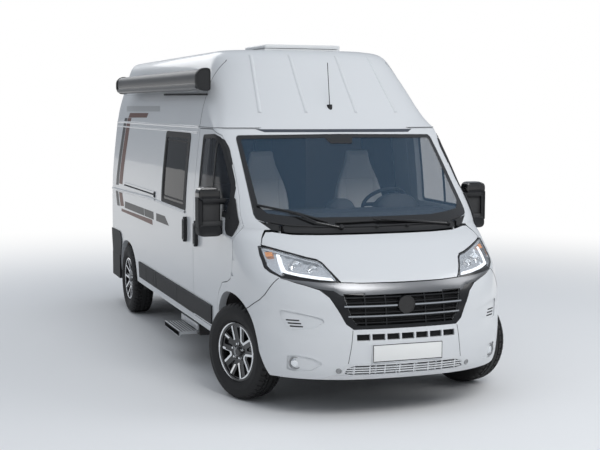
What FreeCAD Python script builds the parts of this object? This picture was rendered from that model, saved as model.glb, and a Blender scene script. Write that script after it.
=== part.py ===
import FreeCAD, Part
import math
import os

V = FreeCAD.Vector

# A high-roof camper van: +Y towards its rear, +X towards its left, +Z up, millimetres.
# Distances called "d" run rearwards from the foremost point of the bumper.

# Driving sizes of the whole vehicle
overall_length = 5998.0
wheelbase = 4035.0
front_overhang = 948.0
wheel_radius = 360.0
tyre_width = 215.0
rim_radius = 218.0
front_track = 1810.0
rear_track = 1790.0
body_rear = 5955.0
side_taper = 25.0
rear_corner = 110.0
nose_power = 2.5

# Walls and clearances
side_wall = 55.0
nose_skin = 26.0
roof_wall = 45.0
seam = 0.3
shut_gap = 6.5
running_gap = 0.05
glass = 6.0
floor_top = 560.0
floor_thick = 60.0
cab_step = 60.0

# Body levels from the skirt to the roof: height, half width, nose distance, depth of the round corner
nose_levels = [
    (240, 980, 75, 850), (320, 995, 26, 860), (420, 1003, 5, 870), (510, 1008, 0, 870), (600, 1012, 5, 870),
    (700, 1017, 26, 870),
    (800, 1020, 40, 860), (900, 1020, 75, 840), (960, 1020, 108, 820), (1060, 1019, 215, 770),
    (1150, 1018, 345, 715), (1225, 1017, 480, 640), (1290, 1015, 600, 560),
]
screen_levels = [
    (1290, 1015, 600, 560), (1353, 1013, 668, 505), (1500, 1004, 838, 430), (1700, 985, 1072, 340),
    (1900, 962, 1306, 270), (2005, 950, 1425, 250),
]
roof_levels = [
    (2005, 950, 1425, 250), (2060, 938, 1480, 330), (2130, 925, 1541, 400), (2300, 877, 1705, 400),
    (2450, 830, 1850, 400), (2540, 800, 1930, 400), (2600, 770, 2000, 400), (2635, 725, 2080, 400),
    (2652, 650, 2180, 400),
]
roof_top = roof_levels[-1][0]

# Wheels and arches
front_axle = front_overhang
rear_axle_d = front_overhang + wheelbase
arch_power = 2.5
front_arch = (front_axle - 33.0, 445.0, 445.0)
rear_arch = (rear_axle_d, 430.0, 400.0)
arch_inner = 560.0
liner = 12.0
kingpin_x = 830.0
kingpin_radius = 14.0
kingpin_low = 225.0
kingpin_high = 505.0
park_steer = 20.0
stub_radius = 28.0

# Windscreen and front panels, right half in front view (half width, height)
screen_outline = [(0, 1300), (500, 1300), (730, 1310), (850, 1352), (858, 1385), (828, 1925), (815, 1949), (0, 1957)]
cowl_outline = [(0, 1258), (431, 1258), (640, 1262), (770, 1280), (846, 1345), (730, 1310), (500, 1300), (0, 1300)]
bonnet_outline = [
    (0, 951), (300, 953), (448, 959), (500, 1033), (531, 1083), (560, 1103), (615, 1114), (725, 1144),
    (843, 1176), (874, 1183), (851, 1228), (812, 1277), (770, 1280), (640, 1262), (431, 1258), (0, 1258),
]
lamp_outline = [
    (458, 959), (500, 1033), (531, 1083), (560, 1103), (615, 1114), (725, 1144), (843, 1176), (896, 1175),
    (902, 1114), (897, 1037), (874, 1010), (823, 982), (793, 1002), (700, 983), (584, 967),
]
mask_outline = [
    (0, 949), (300, 951), (458, 959), (584, 967), (700, 983), (793, 1002), (823, 982), (744, 952), (677, 934),
    (598, 908), (540, 859), (482, 758), (441, 679), (392, 641), (0, 641),
]
mask_window = [(0, 874), (300, 874), (450, 882), (430, 803), (400, 712), (369, 667), (0, 667)]
lower_intake = [(0, 388), (385, 388), (435, 372), (450, 330), (400, 322), (0, 322)]
vent_top, vent_bottom, vent_half_row, vent_count = 608.0, 564.0, 380.0, 7
side_recess = [(848, 768), (744, 752), (640, 730), (560, 704), (640, 652), (760, 630), (812, 640), (836, 700)]
fog_recess = [(806, 452), (740, 455), (659, 440), (590, 404), (660, 352), (760, 338), (806, 352)]
recess_deep = 11.0
bumper_low = 284.0
bumper_joint = [(330, 995), (371, 979), (429, 857), (466, 817), (583, 748), (700, 700)]

# Doors in side view (distance, height)
door_rear = 2095.0
door_bottom = 440.0
door_outline = [
    (881, 1297), (930, 1187), (905, 1100), (905, 990), (945, 905), (1040, 870), (1180, 845), (1300, 740),
    (1375, 560), (1395, door_bottom), (door_rear, door_bottom), (door_rear, 1996), (1677, 1998), (1525, 1950),
    (1388, 1842), (1235, 1697), (1055, 1510),
]
door_window = [
    (1010, 1362), (1936, 1372), (1936, 1935), (1600, 1947), (1497, 1916), (1399, 1842), (1286, 1731), (1145, 1587),
]
slide_front = door_rear
slide_rear = 3570.0
slide_top = 1990.0
side_window = (2400.0, 3290.0, 1315.0, 1922.0)
door_hinge = (1004.0, 880.0)
door_hinge_heights = (945.0, 1065.0)
hinge_pin = 5.0
hinge_boss = 9.0
hinge_tall = 24.0

# Rear doors in rear view
rear_door_half = 815.0
rear_door_low = 575.0
rear_door_high = 2290.0
rear_window = (170.0, 700.0, 1270.0, 1830.0)
rear_hinge = (842.0, 14.0)


def at(d):
    """Y of a point at a distance behind the foremost point of the bumper."""
    return d - overall_length / 2


def box(x0, x1, d0, d1, z0, z1):
    return Part.makeBox(x1 - x0, d1 - d0, z1 - z0, V(x0, at(d0), z0))


def polygon(points, place):
    corners = [place(a, b) for a, b in points]
    return Part.Face(Part.makePolygon(corners + corners[:1]))


def rounded(points, radius, place):
    """Face of a polygon whose corners are rounded by arcs, in the plane that place puts it in."""
    edges = []
    count = len(points)
    starts = []
    for i in range(count):
        before, here, after = points[i - 1], points[i], points[(i + 1) % count]
        ua = (before[0] - here[0], before[1] - here[1])
        ub = (after[0] - here[0], after[1] - here[1])
        la, lb = math.hypot(*ua), math.hypot(*ub)
        cosine = (ua[0] * ub[0] + ua[1] * ub[1]) / (la * lb)
        half = math.acos(max(-1.0, min(1.0, cosine))) / 2
        reach = min(radius / math.tan(half), 0.45 * la, 0.45 * lb)
        bend = reach * math.tan(half)
        a = (here[0] + ua[0] / la * reach, here[1] + ua[1] / la * reach)
        b = (here[0] + ub[0] / lb * reach, here[1] + ub[1] / lb * reach)
        out = (a[0] + b[0] - 2 * here[0], a[1] + b[1] - 2 * here[1])
        size = math.hypot(*out)
        depth = bend / math.sin(half) - bend
        m = (here[0] + out[0] / size * depth, here[1] + out[1] / size * depth)
        starts.append((a, m, b))
    for i in range(count):
        a, m, b = starts[i]
        edges.append(Part.Arc(place(*a), place(*m), place(*b)).toShape())
        following = starts[(i + 1) % count][0]
        edges.append(Part.LineSegment(place(*b), place(*following)).toShape())
    return Part.Face(Part.Wire(edges))


def front_view(x, z):
    return V(x, 0, z)


def side_view(d, z):
    return V(0, at(d), z)


def plan_view(x, d):
    return V(x, at(d), 0)


def along_y(face, d0, d1):
    moved = face.copy()
    moved.translate(V(0, at(d0), 0))
    return moved.extrude(V(0, d1 - d0, 0))


def along_x(face, x0, x1):
    moved = face.copy()
    moved.translate(V(x0, 0, 0))
    return moved.extrude(V(x1 - x0, 0, 0))


def grown(face, step):
    return face.makeOffset2D(step) if step else face


def mirrored(points):
    """Whole outline of a front-view shape from its right half, which starts and ends on the centre line."""
    left = [(-x, z) for x, z in reversed(points) if x > 0]
    return points + left


def cylinder(radius, start, end):
    axis = end - start
    return Part.makeCylinder(radius, axis.Length, start, axis)


def other_side(shape):
    return shape.mirror(V(0, 0, 0), V(1, 0, 0))


def right_half(shape):
    return shape.common(box(-2000, 0, -500, 7000, -100, 3500))


def solids(shape, smallest=2000.0):
    """The shape without slivers, as one solid or a compound of solids."""
    kept = [s for s in shape.Solids if abs(s.Volume) > smallest]
    return kept[0] if len(kept) == 1 else Part.Compound(kept)


def joined(shapes):
    first = shapes[0]
    return first.fuse(shapes[1:]).removeSplitter() if len(shapes) > 1 else first


def save(name, shape):
    kept = solids(shape)
    kept.exportStep("parts/" + name + ".step")
    box_of = kept.BoundBox
    print(f"{name:22s} solids {len(kept.Solids)} valid {kept.isValid()} litres {kept.Volume / 1e6:9.3f}",
          f"x {box_of.XMin:7.0f} {box_of.XMax:7.0f} y {box_of.YMin:7.0f} {box_of.YMax:7.0f}",
          f"z {box_of.ZMin:6.0f} {box_of.ZMax:6.0f}")


# Body envelope
def even_curve(points):
    """Smooth curve through points with evenly spaced parameters, so that lofts between such curves stay light."""
    curve = Part.BSplineCurve()
    curve.interpolate(Points=points, Parameters=[float(i) for i in range(len(points))])
    return curve.toShape()


def level_wire(level, side_in=0.0, nose_in=0.0, rear_in=0.0, height=None):
    z, half, nose, depth = level
    z = z if height is None else height
    half = half - side_in
    nose = nose + nose_in
    depth = depth - nose_in
    rear = body_rear - rear_in
    corner = max(rear_corner - rear_in, 20.0)
    front = []
    for step in range(-6, 7):
        angle = math.radians(15.0 * step)
        x = half * math.copysign(abs(math.sin(angle)) ** (2 / nose_power), step)
        front.append(V(x, at(nose + depth * (1 - math.cos(angle) ** (2 / nose_power))), z))
    edges = [even_curve(front)]
    tail = half - side_taper
    right = []
    for step in range(5):
        turn = math.radians(22.5 * step)
        right.append(V(tail - corner + corner * math.cos(turn), at(rear - corner + corner * math.sin(turn)), z))
    left = [V(-p.x, p.y, z) for p in reversed(right)]
    edges.append(Part.LineSegment(front[-1], right[0]).toShape())
    edges.append(even_curve(right))
    edges.append(Part.LineSegment(right[-1], left[0]).toShape())
    edges.append(even_curve(left))
    edges.append(Part.LineSegment(left[-1], front[0]).toShape())
    return Part.Wire(edges)


def loft(wires):
    return Part.makeLoft(wires, True, False)


def envelope(side_in=0.0, nose_in=0.0, rear_in=0.0, roof_in=0.0):
    blocks = []
    for levels in (nose_levels, screen_levels, roof_levels):
        wires = []
        for level in levels:
            share = max(0.0, (level[0] - roof_levels[0][0]) / (roof_top - roof_levels[0][0]))
            height = level[0] - roof_in * share
            slope_in = nose_in * 1.5 if level[0] > nose_levels[-4][0] else nose_in
            wires.append(level_wire(level, side_in, slope_in, rear_in, height))
        blocks.append(loft(wires))
    return joined(blocks)


def arch_face(arch, extra=0.0, drop=400.0):
    """Wheel arch opening in side view, a flattened half round with straight legs down."""
    centre, half, height = arch
    half, height = half + extra, height + extra
    points = []
    for step in range(-6, 7):
        angle = math.radians(15.0 * step)
        share = math.copysign(abs(math.sin(angle)) ** (2 / arch_power), step)
        points.append(side_view(centre + half * share, wheel_radius + height * math.cos(angle) ** (2 / arch_power)))
    curve = Part.BSplineCurve()
    curve.interpolate(points)
    low_a = V(0, points[0].y, wheel_radius - drop)
    low_b = V(0, points[-1].y, wheel_radius - drop)
    edges = [curve.toShape(), Part.LineSegment(points[-1], low_b).toShape(),
             Part.LineSegment(low_b, low_a).toShape(), Part.LineSegment(low_a, points[0]).toShape()]
    return Part.Face(Part.Wire(edges))


outer = envelope()
inner = envelope(side_wall, nose_skin, side_wall, roof_wall)
inner = inner.common(box(-1100, 1100, -100, 6100, nose_levels[0][0] - 50, 2700))
shell = outer.cut(inner)
shell = shell.cut(box(-960, 960, 480, 5850, 200, floor_top - floor_thick))
skirt_low = 390.0
shell = shell.cut(box(-1100, 1100, front_arch[0], 6100, 200, skirt_low))
for arch in (front_arch, rear_arch):
    hole = along_x(arch_face(arch), -1100, -arch_inner)
    shell = shell.cut([hole, other_side(hole)])

right_side = shell.common(box(-1100, 0, 500, 6100, 200, 2700))
outer_right = outer.common(box(-1100, -400, 700, 6100, 300, 2500))
rear_end = shell.common(box(-1100, 0, 5700, 6100, 400, 2500))

# Front panels
nose_end = 1450.0
nose = shell.common(box(-1100, 0, -100, nose_end, 200, 1420))
nose_low = nose.common(box(-1100, 0, -100, 600, 280, 1000))
past_centre = 20.0


def front_prism(outline, step=0.0, d1=900.0):
    """Prism of the right half of a symmetric front-view outline, running a little past the centre."""
    points = [(-x if x else past_centre, z) for x, z in outline]
    return along_y(grown(polygon(points, front_view), step), -100, d1)


def lamp_prism(step=0.0):
    return along_y(grown(polygon([(-x, z) for x, z in lamp_outline], front_view), step), -100, 800)


def whole(half):
    """A symmetric piece from its right half."""
    return joined([half, other_side(half)])


def cross_pin(radius, x0, x1, hinge):
    return cylinder(radius, V(x0, at(hinge[0]), hinge[1]), V(x1, at(hinge[0]), hinge[1]))


bonnet_hinge = (775.0, 1285.0)
bonnet_arm_x = 700.0
bonnet_arm = 6.0
bonnet_pin = 7.0


def skin_depth(x, z):
    """Distance of the nose's skin at a half width and height, read off its levels."""
    for low, high in zip(nose_levels, nose_levels[1:]):
        if low[0] <= z <= high[0]:
            share = (z - low[0]) / (high[0] - low[0])
            half, front, deep = [low[k] + share * (high[k] - low[k]) for k in (1, 2, 3)]
            return front + deep * (1 - (1 - (x / half) ** nose_power) ** (1 / nose_power))
    return 0.0


def swing_drum(extra=0.0):
    """Space round the bonnet's hinge line that stays free of the bonnet, as wide at each x as its rear seam is far."""
    d, z = bonnet_hinge
    seam_line = [bonnet_outline[-1]] + bonnet_outline[-2:8:-1]
    profile = []
    for (xa, za), (xb, zb) in zip(seam_line, seam_line[1:]):
        for step in range(4):
            x, height = xa + (xb - xa) * step / 4, za + (zb - za) * step / 4
            profile.append((x, math.hypot(skin_depth(x, height) - d, height - z) + extra))
    x, height = seam_line[-1]
    profile.append((x + 8, math.hypot(skin_depth(x, height) - d, height - z) + extra))
    corners = [V(-x, at(d), z + radius) for x, radius in profile]
    corners = [V(past_centre, at(d), z + profile[0][1])] + corners
    corners += [V(corners[-1].x, at(d), z), V(past_centre, at(d), z)]
    return Part.Face(Part.makePolygon(corners + corners[:1])).revolve(V(0, at(d), z), V(1, 0, 0), 360)


def bonnet():
    """Bonnet skin with two arms that reach back under the scuttle to their pins."""
    panel = nose.common(front_prism(bonnet_outline, -shut_gap / 2)).cut(swing_drum(shut_gap))
    panel = max(panel.Solids, key=lambda solid: solid.Volume)
    d, z = bonnet_hinge
    profile = [(545, 1165), (690, 1205), (d + 12, z - 14), (d + 12, z + 11), (d - 12, z + 11), (d - 25, z - 16),
               (d - 60, z - 45), (680, 1232), (590, 1215)]
    x = -bonnet_arm_x
    arm = along_x(rounded(profile, 8.0, side_view), x - bonnet_arm, x + bonnet_arm)
    arm = arm.cut(cross_pin(bonnet_pin + running_gap, x - 50, x + 50, bonnet_hinge))
    return whole(joined([panel, arm]))


def windscreen():
    block = outer.common(box(-1000, 0, 500, 1650, 1285, 2000))
    inside = block.copy()
    inside.translate(V(0, glass * 2, 0))
    return whole(block.cut(inside).common(front_prism(screen_outline, -seam, 1800)))


def scuttle():
    """Panel below the windscreen with slots for the bonnet arms, and an ear and a pin beside each."""
    tray = nose.common(front_prism(cowl_outline, -seam / 2, 1100)).cut(swept)
    d, z = bonnet_hinge
    x = -bonnet_arm_x
    tray = tray.cut(box(x - bonnet_arm - 6, x + bonnet_arm + 6, 500, 900, 1200, z + 25))
    fittings = []
    for ear in (-1, 1):
        near = x + ear * (bonnet_arm + 1)
        far = x + ear * (bonnet_arm + 9)
        fittings.append(box(min(near, far), max(near, far), 700, d + 13, z - 13, z + 22))
    reach = bonnet_arm + 10
    fittings.append(cross_pin(bonnet_pin, x - reach, x + reach, bonnet_hinge))
    return whole(joined([tray] + fittings))


def side_prism(points, step=0.0, x0=-1100.0, x1=-500.0):
    return along_x(grown(polygon(points, side_view), step), x0, x1)


forward_region = bumper_joint + [(700, 200), (-200, 200), (-200, 995)]
cuts = [front_prism(bonnet_outline, shut_gap / 2), front_prism(mask_outline), lamp_prism()]
cuts += [front_prism(screen_outline, 0, 1800), front_prism(cowl_outline, 0, 1100)]
swept = box(-874, past_centre + 5, 380, 800, 1150, 1400).cut(swing_drum())
front_rest = nose.cut(cuts).cut(swept)
door_space = side_prism(door_outline, shut_gap / 2, -1100, -700)


plate_half, plate_low, plate_high = 267.0, 408.0, 536.0


def pressed_in(skin, outline, radius, depth):
    """Skin with the area inside a front-view outline moved back, as a pressed recess."""
    face = rounded([(-x, z) for x, z in outline], radius, front_view)
    prism = along_y(face, -100, 700)
    floor = skin.common(prism)
    floor.translate(V(0, depth, 0))
    return joined([skin.cut(prism), floor])


def skin_bars(outline, bands, set_back):
    """Bars cut from the skin inside an outline and moved back a little, so they follow its curve."""
    lattice = bands[0].fuse(bands[1:]).common(front_prism(outline, -seam))
    bars = nose_low.common(lattice)
    bars.translate(V(0, set_back, 0))
    return whole(bars)


def front_bumper():
    region = along_x(polygon(forward_region, side_view), -1100, 0)
    shape = max(front_rest.common(region).Solids, key=lambda solid: solid.Volume)
    flare = along_x(polygon([(474, 450), (410, bumper_low), (410, 100), (520, 100), (520, 450)], side_view), -1100, -arch_inner)
    shape = shape.cut([flare, box(-1100, 100, -100, 700, 100, bumper_low)])
    shape = pressed_in(shape, side_recess, 18.0, recess_deep)
    shape = pressed_in(shape, fog_recess, 14.0, recess_deep)
    slots = [box(-x - 76, -x, 100, 420, z, z + 8) for x, z in ((732.0, 693.0), (722.0, 672.0), (712.0, 652.0))]
    pitch = 2 * vent_half_row / vent_count
    for i in range(vent_count // 2 + 1):
        x = -vent_half_row + i * pitch
        slots.append(box(x + 7, x + pitch - 7, -100, 300, vent_bottom, vent_top))
    slots.append(front_prism(lower_intake, 0, 300))
    slots.append(box(-plate_half, 0, -100, 2, plate_low, plate_high))
    shape = shape.cut(slots)
    seat = box(-plate_half, 0, 2, 34, plate_low, plate_high)
    bands = [box(x - 5, x + 5, -100, 400, 300, 400) for x in (-390.0, -230.0, -75.0)]
    bands += [box(-460, 0, -100, 400, z - 3.5, z + 3.5) for z in (338.0, 355.0, 372.0)]
    return Part.Compound([whole(joined([shape, seat])), skin_bars(lower_intake, bands, 9.0)])


def wing():
    region = [(700, 700), (583, 748), (466, 817), (429, 857), (371, 979), (330, 995), (330, 1330), (846, 1345),
              (860, 1360), (881, 1297), (930, 1187), (905, 1100), (905, 990), (945, 905), (1040, 870), (1180, 845),
              (1300, 740), (1375, 560), (1395, 300), (1330, 300), (700, 500)]
    shape = front_rest.common(along_x(polygon(region, side_view), -1100, -500))
    shape = shape.cut(door_space)
    x, d = -door_hinge[0], door_hinge[1]
    for z in door_hinge_heights:
        half = hinge_tall / 2
        shape = shape.cut(box(x - 30, x + 18, d - 16, d + 60, z - half - 1, z + half + 1))
        shape = joined([shape, hinge_cylinder(hinge_pin, z, half + 8)])
    return shape


def hinge_cylinder(radius, z, half):
    x, d = -door_hinge[0], door_hinge[1]
    return cylinder(radius, V(x, at(d), z - half), V(x, at(d), z + half))


def grille():
    """Frame between the lamps with its cross bars, slats, uprights and a plain round disc."""
    frame = nose_low.common(front_prism(mask_outline, -seam)).cut(front_prism(mask_window))
    bands = []
    rows = 6
    low, high = mask_window[-1][1], mask_window[0][1]
    for i in range(rows):
        z = low + (i + 0.5) * (high - low) / rows
        bands.append(box(-460, 0, -100, 400, z - 4, z + 4))
    bands += [box(-460, 0, -100, 400, z - 8, z + 8) for z in (730.0, 800.0)]
    bands += [box(x - 5, x + 5, -100, 400, low - 10, high + 10) for x in (-300.0, -150.0)]
    start, end = V(0, at(34), 802), V(0, at(90), 802)
    bars = skin_bars(mask_window, bands, 8.0).cut(cylinder(disc_radius + seam, start - V(0, 100, 0), end + V(0, 100, 0)))
    return Part.Compound([whole(frame), bars, cylinder(disc_radius, start, end)])


disc_radius = 63.0


def headlamps():
    lamp = nose.common(lamp_prism(-seam))
    return Part.Compound([lamp, other_side(lamp)])


# Doors and their glass
def front_door():
    """Right front door with its window opening, a slanted rear edge and two hinge arms."""
    panel = right_side.common(side_prism(door_outline, -shut_gap / 2, -1100, -700))
    slant = polygon([(-1040, door_rear + 20), (-840, door_rear + 20), (-840, door_rear - 22),
                     (-1006, door_rear - shut_gap / 2)], plan_view)
    slant.translate(V(0, 0, 300))
    panel = panel.cut([along_x(rounded(door_window, 35.0, side_view), -1100, -700), slant.extrude(V(0, 0, 2000))])
    x, d = -door_hinge[0], door_hinge[1]
    pieces = [panel, handle(front_handle_d)]
    for z in door_hinge_heights:
        half = hinge_tall / 2
        arm = box(x - hinge_boss, x + 8, d, d + 70, z - half, z + half)
        boss = joined([arm, hinge_cylinder(hinge_boss, z, half)])
        pieces.append(boss.cut(hinge_cylinder(hinge_pin + running_gap, z, half + 1)))
    return joined(pieces)


def front_glass():
    block = outer_right.common(box(-1100, -700, 900, 2200, 1300, 2000))
    inside = block.copy()
    inside.translate(V(glass, 0, 0))
    pane = block.cut(inside)
    pane.translate(V(4.0, 0, 0))
    return pane.common(along_x(grown(rounded(door_window, 35.0, side_view), -seam), -1100, -700))


def mirror():
    """Tall mirror head on a short arm that stands on the door's front corner."""
    head = rounded([(-1205, 1200), (-1205, 1560), (-1150, 1590), (-1050, 1585), (-1030, 1540), (-1040, 1230),
                    (-1080, 1195)], 30.0, front_view)
    shape = along_y(head, 1165, 1275)
    arm = along_y(polygon([(-1080, 1290), (-1080, 1370), (-955, 1400), (-955, 1330)], front_view), 1150, 1215)
    arm = arm.cut(outer_right)
    return joined([shape, arm])


def handle(d):
    """Upright grip that stands off the door on two feet."""
    low, high = handle_heights
    grip = along_x(rounded([(d - 24, low), (d + 24, low), (d + 24, high), (d - 24, high)], 22.0, side_view), -1100, -900)
    feet = [box(-1100, -900, d - 14, d + 14, z, z + 26) for z in (low + 8, high - 34)]
    skin = outer_right.common(box(-1100, -900, d - 60, d + 60, low - 60, high + 60))
    outside = skin.copy()
    outside.translate(V(-handle_proud, 0, 0))
    under = skin.copy()
    under.translate(V(-handle_proud + 12, 0, 0))
    bar = outside.common(grip).cut(under)
    return joined([bar] + [outside.common(foot).cut(skin) for foot in feet])


handle_heights = (1045.0, 1235.0)
handle_proud = 34.0
front_handle_d = 1955.0
slide_handle_d = 2335.0


def sliding_door():
    outline = [(slide_front + shut_gap, door_bottom), (slide_rear, door_bottom), (slide_rear, slide_top),
               (slide_front + shut_gap, slide_top)]
    panel = right_side.common(side_prism(outline, -seam, -1100, -700))
    panel = panel.cut(along_x(window_face(side_window), -1100, -700))
    return joined([panel, handle(slide_handle_d)]), outline


def window_face(window, radius=45.0, step=0.0):
    d0, d1, z0, z1 = window
    return grown(rounded([(d0, z0), (d1, z0), (d1, z1), (d0, z1)], radius, side_view), step)


def side_glass():
    block = outer_right.common(box(-1100, -700, 2300, 3400, 1200, 2000))
    inside = block.copy()
    inside.translate(V(glass, 0, 0))
    pane = block.cut(inside)
    pane.translate(V(3.0, 0, 0))
    return pane.common(along_x(window_face(side_window, 45.0, -seam), -1100, -700))


# Rear end
def rear_view_rect(x0, x1, z0, z1, radius, step=0.0):
    return grown(rounded([(x0, z0), (x1, z0), (x1, z1), (x0, z1)], radius, front_view), step)


rear_hinge_heights = (760.0, 1400.0, 2080.0)
rear_pin = 6.0
rear_boss = 11.0
rear_tall = 60.0


def rear_hinge_piece(radius, z0, z1):
    x, d = -rear_hinge[0], body_rear + rear_hinge[1]
    return cylinder(radius, V(x, at(d), z0), V(x, at(d), z1))


def rear_door():
    """Right rear door with its window opening and hinge straps outside."""
    face = rear_view_rect(-rear_door_half, -shut_gap / 2, rear_door_low, rear_door_high, 40.0, -shut_gap / 2)
    panel = rear_end.common(along_y(face, 5700, 6100))
    hole = along_y(rear_view_rect(-rear_window[1], -rear_window[0], rear_window[2], rear_window[3], 50.0), 5700, 6100)
    pieces = [panel.cut(hole)]
    d = body_rear + rear_hinge[1]
    for z in rear_hinge_heights:
        half = rear_tall / 2
        strap = box(-rear_hinge[0], -740, d - 5, d + 5, z - half, z + half)
        foot = box(-800, -740, body_rear - 40, d + 5, z - half, z + half)
        knuckle_part = joined([strap, foot, rear_hinge_piece(rear_boss, z - half, z + half)])
        pieces.append(knuckle_part.cut(rear_hinge_piece(rear_pin + running_gap, z - half - 1, z + half + 1)))
    return joined(pieces)


def rear_hinge_ears():
    """Ears and pins on the body beside the right rear door."""
    d = body_rear + rear_hinge[1]
    pieces = []
    for z in rear_hinge_heights:
        half = rear_tall / 2
        pieces.append(rear_hinge_piece(rear_pin, z - half - 15, z + half + 15))
        for low in (z - half - 16, z + half + 1):
            ear = box(-rear_hinge[0] - 26, -rear_hinge[0], body_rear - 50, d + 8, low, low + 15)
            pieces.append(joined([ear, rear_hinge_piece(rear_boss, low, low + 15)]))
    return pieces


def rear_glass():
    face = rear_view_rect(-rear_window[1], -rear_window[0], rear_window[2], rear_window[3], 50.0, -seam)
    return along_y(face, body_rear - glass - 2, body_rear - 2)


rear_cut = along_y(rear_view_rect(-rear_door_half, rear_door_half, rear_door_low, rear_door_high, 40.0), 5700, 6100)


# Body sides, roof panel and roof cap
cap_rear = 2116.0
cap_low = 2007.0
roof_half = 735.0


def cap_region():
    return [box(-1200, 0, 1000, cap_rear, cap_low, 3000), box(-815, 0, 1200, 1560, 1957, cap_low)]


def roof_cap():
    region = joined(cap_region())
    return whole(right_side.common(region).cut(front_prism(screen_outline, 0, 1800)))


def roof_region(step=0.0):
    return box(-roof_half + step, roof_half - step, cap_rear + seam, 5990, 2300, 3000)


hatch_front = (2290.0, 2790.0, 300.0)
hatch_rear = (4650.0, 5050.0, 200.0)


def roof_panel():
    shape = shell.common(roof_region(seam / 2)).common(box(-1000, 1000, 2000, body_rear - rear_corner, 2300, 3000))
    holes = []
    for d0, d1, half in (hatch_front, hatch_rear):
        holes.append(box(-half, half, d0, d1, 2400, 3000))
    return shape.cut(holes)


def body_side():
    """Right body side from the windscreen pillar to the rear corner."""
    side = right_side.common(box(-1100, -seam / 2, 700, 6100, 200, 2700))
    roof_cut = roof_region(-seam / 2).common(box(-1000, 1000, 2000, body_rear - rear_corner, 2300, 3000))
    cuts = cap_region() + [roof_cut, rear_cut, door_space, front_prism(screen_outline, 0, 1800),
                           front_prism(cowl_outline, 0, 1100), front_prism(bonnet_outline, 3.0)]
    wing_region = [(330, 300), (330, 1330), (846, 1345), (860, 1360), (881, 1297), (930, 1187), (905, 1100),
                   (905, 990), (945, 905), (1040, 870), (1180, 845), (1300, 740), (1375, 560), (1395, 300)]
    cuts.append(along_x(polygon(wing_region, side_view), -1100, -500))
    return joined([side.cut(cuts)] + rear_hinge_ears())


# Tyres, rims and knuckles, modelled standing straight and then turned to the parked steer
def wheel_place(side, axle_d, track):
    """Placement from a wheel's own frame, axle along +X outwards, to the vehicle."""
    return V(side * track / 2, at(axle_d), wheel_radius)


def turned(shape, side):
    pivot = V(side * kingpin_x, at(front_axle), 0)
    copy = shape.copy()
    copy.rotate(pivot, V(0, 0, 1), park_steer)
    return copy


def revolve_profile(points):
    """Solid turned round the X axis from points (x outwards, radius)."""
    wire = Part.makePolygon([V(x, 0, r) for x, r in points + points[:1]])
    return Part.Face(wire).revolve(V(0, 0, 0), V(1, 0, 0), 360)


lip_width = 80.0


def tyre():
    half = tyre_width / 2
    crown = wheel_radius
    wall = rim_radius - 12.0
    bead = lip_width - 0.3
    points = [(-bead, wall), (-bead, rim_radius + 1), (-half + 6, rim_radius + 10), (-half, wall + 70),
              (-half + 8, crown - 42), (-half + 30, crown - 10), (-half + 60, crown), (half - 60, crown),
              (half - 30, crown - 10), (half - 8, crown - 42), (half, wall + 70), (half - 6, rim_radius + 10),
              (bead, rim_radius + 1), (bead, wall)]
    return revolve_profile(points)


rim_face = 62.0


def rim():
    barrel = revolve_profile([
        (-88, rim_radius - 13), (-88, rim_radius), (-lip_width, rim_radius), (-lip_width, rim_radius - 12.3),
        (lip_width, rim_radius - 12.3), (lip_width, rim_radius), (90, rim_radius), (90, rim_radius - 16),
        (70, rim_radius - 22), (-70, rim_radius - 22)])
    hub = revolve_profile([(rim_face - 32, stub_radius + running_gap), (rim_face - 32, 78), (rim_face - 6, 74),
                           (rim_face, 62), (rim_face + 4, 40), (rim_face + 4, stub_radius + running_gap)])
    cap = revolve_profile([(rim_face + 4, 0), (rim_face + 4, 34), (rim_face + 22, 31), (rim_face + 26, 20),
                           (rim_face + 26, 0)])
    face_tip = rim_face + 18
    plate = revolve_profile([(rim_face - 24, 44), (rim_face + 4, 44), (rim_face + 4, 75), (face_tip, rim_radius - 14),
                             (face_tip - 26, rim_radius - 14), (rim_face - 24, 75)])
    cuts = []
    for i in range(5):
        angle = rim_phase + 72.0 * i
        window = rounded([(-13, 100), (13, 100), (56, rim_radius - 25), (-56, rim_radius - 25)], 9.0, wheel_view)
        groove = rounded([(-9, 96), (9, 96), (27, rim_radius - 34), (-27, rim_radius - 34)], 8.0, wheel_view)
        for face, turn, start, deep in ((window, angle, rim_face - 60, 120.0), (groove, angle + 36.0, rim_face - 4, 60.0)):
            face = face.copy()
            face.rotate(V(0, 0, 0), V(1, 0, 0), turn)
            face.translate(V(start, 0, 0))
            cuts.append(face.extrude(V(deep, 0, 0)))
        spot = V(0, 56 * math.sin(math.radians(-angle - 36)), 56 * math.cos(math.radians(-angle - 36)))
        cuts.append(cylinder(15.0, spot + V(rim_face - 2, 0, 0), spot + V(rim_face + 30, 0, 0)))
    return joined([barrel, hub.cut(cuts[2::3]), plate.cut(cuts)]).fuse(cap)


def wheel_view(across, radius):
    return V(0, across, radius)


rim_phase = -34.0


def knuckle():
    """Upright with its kingpin bore, stub axle and brake disc, in the right wheel's own frame."""
    pin_x = kingpin_x - front_track / 2
    carrier = Part.makeBox(52, 96, 210, V(pin_x - 30, -48, -105))
    bore = Part.makeCylinder(kingpin_radius + running_gap, 400, V(pin_x, 0, -200), V(0, 0, 1))
    disc = revolve_profile([(pin_x + 30, 0), (pin_x + 30, 134), (pin_x + 52, 134), (pin_x + 52, 0)])
    stub = Part.makeCylinder(stub_radius, rim_face + 2 - pin_x - 20, V(pin_x + 20, 0, 0), V(1, 0, 0))
    return joined([carrier.cut(bore), disc.cut(bore), stub.cut(bore)])


def placed(shape, side, axle_d, track):
    """Shape from the wheel frame (+X outwards) to its corner of the van."""
    copy = shape if side > 0 else other_side(shape)
    copy = copy.copy()
    copy.translate(V(side * track / 2, at(axle_d), wheel_radius))
    return copy


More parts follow.
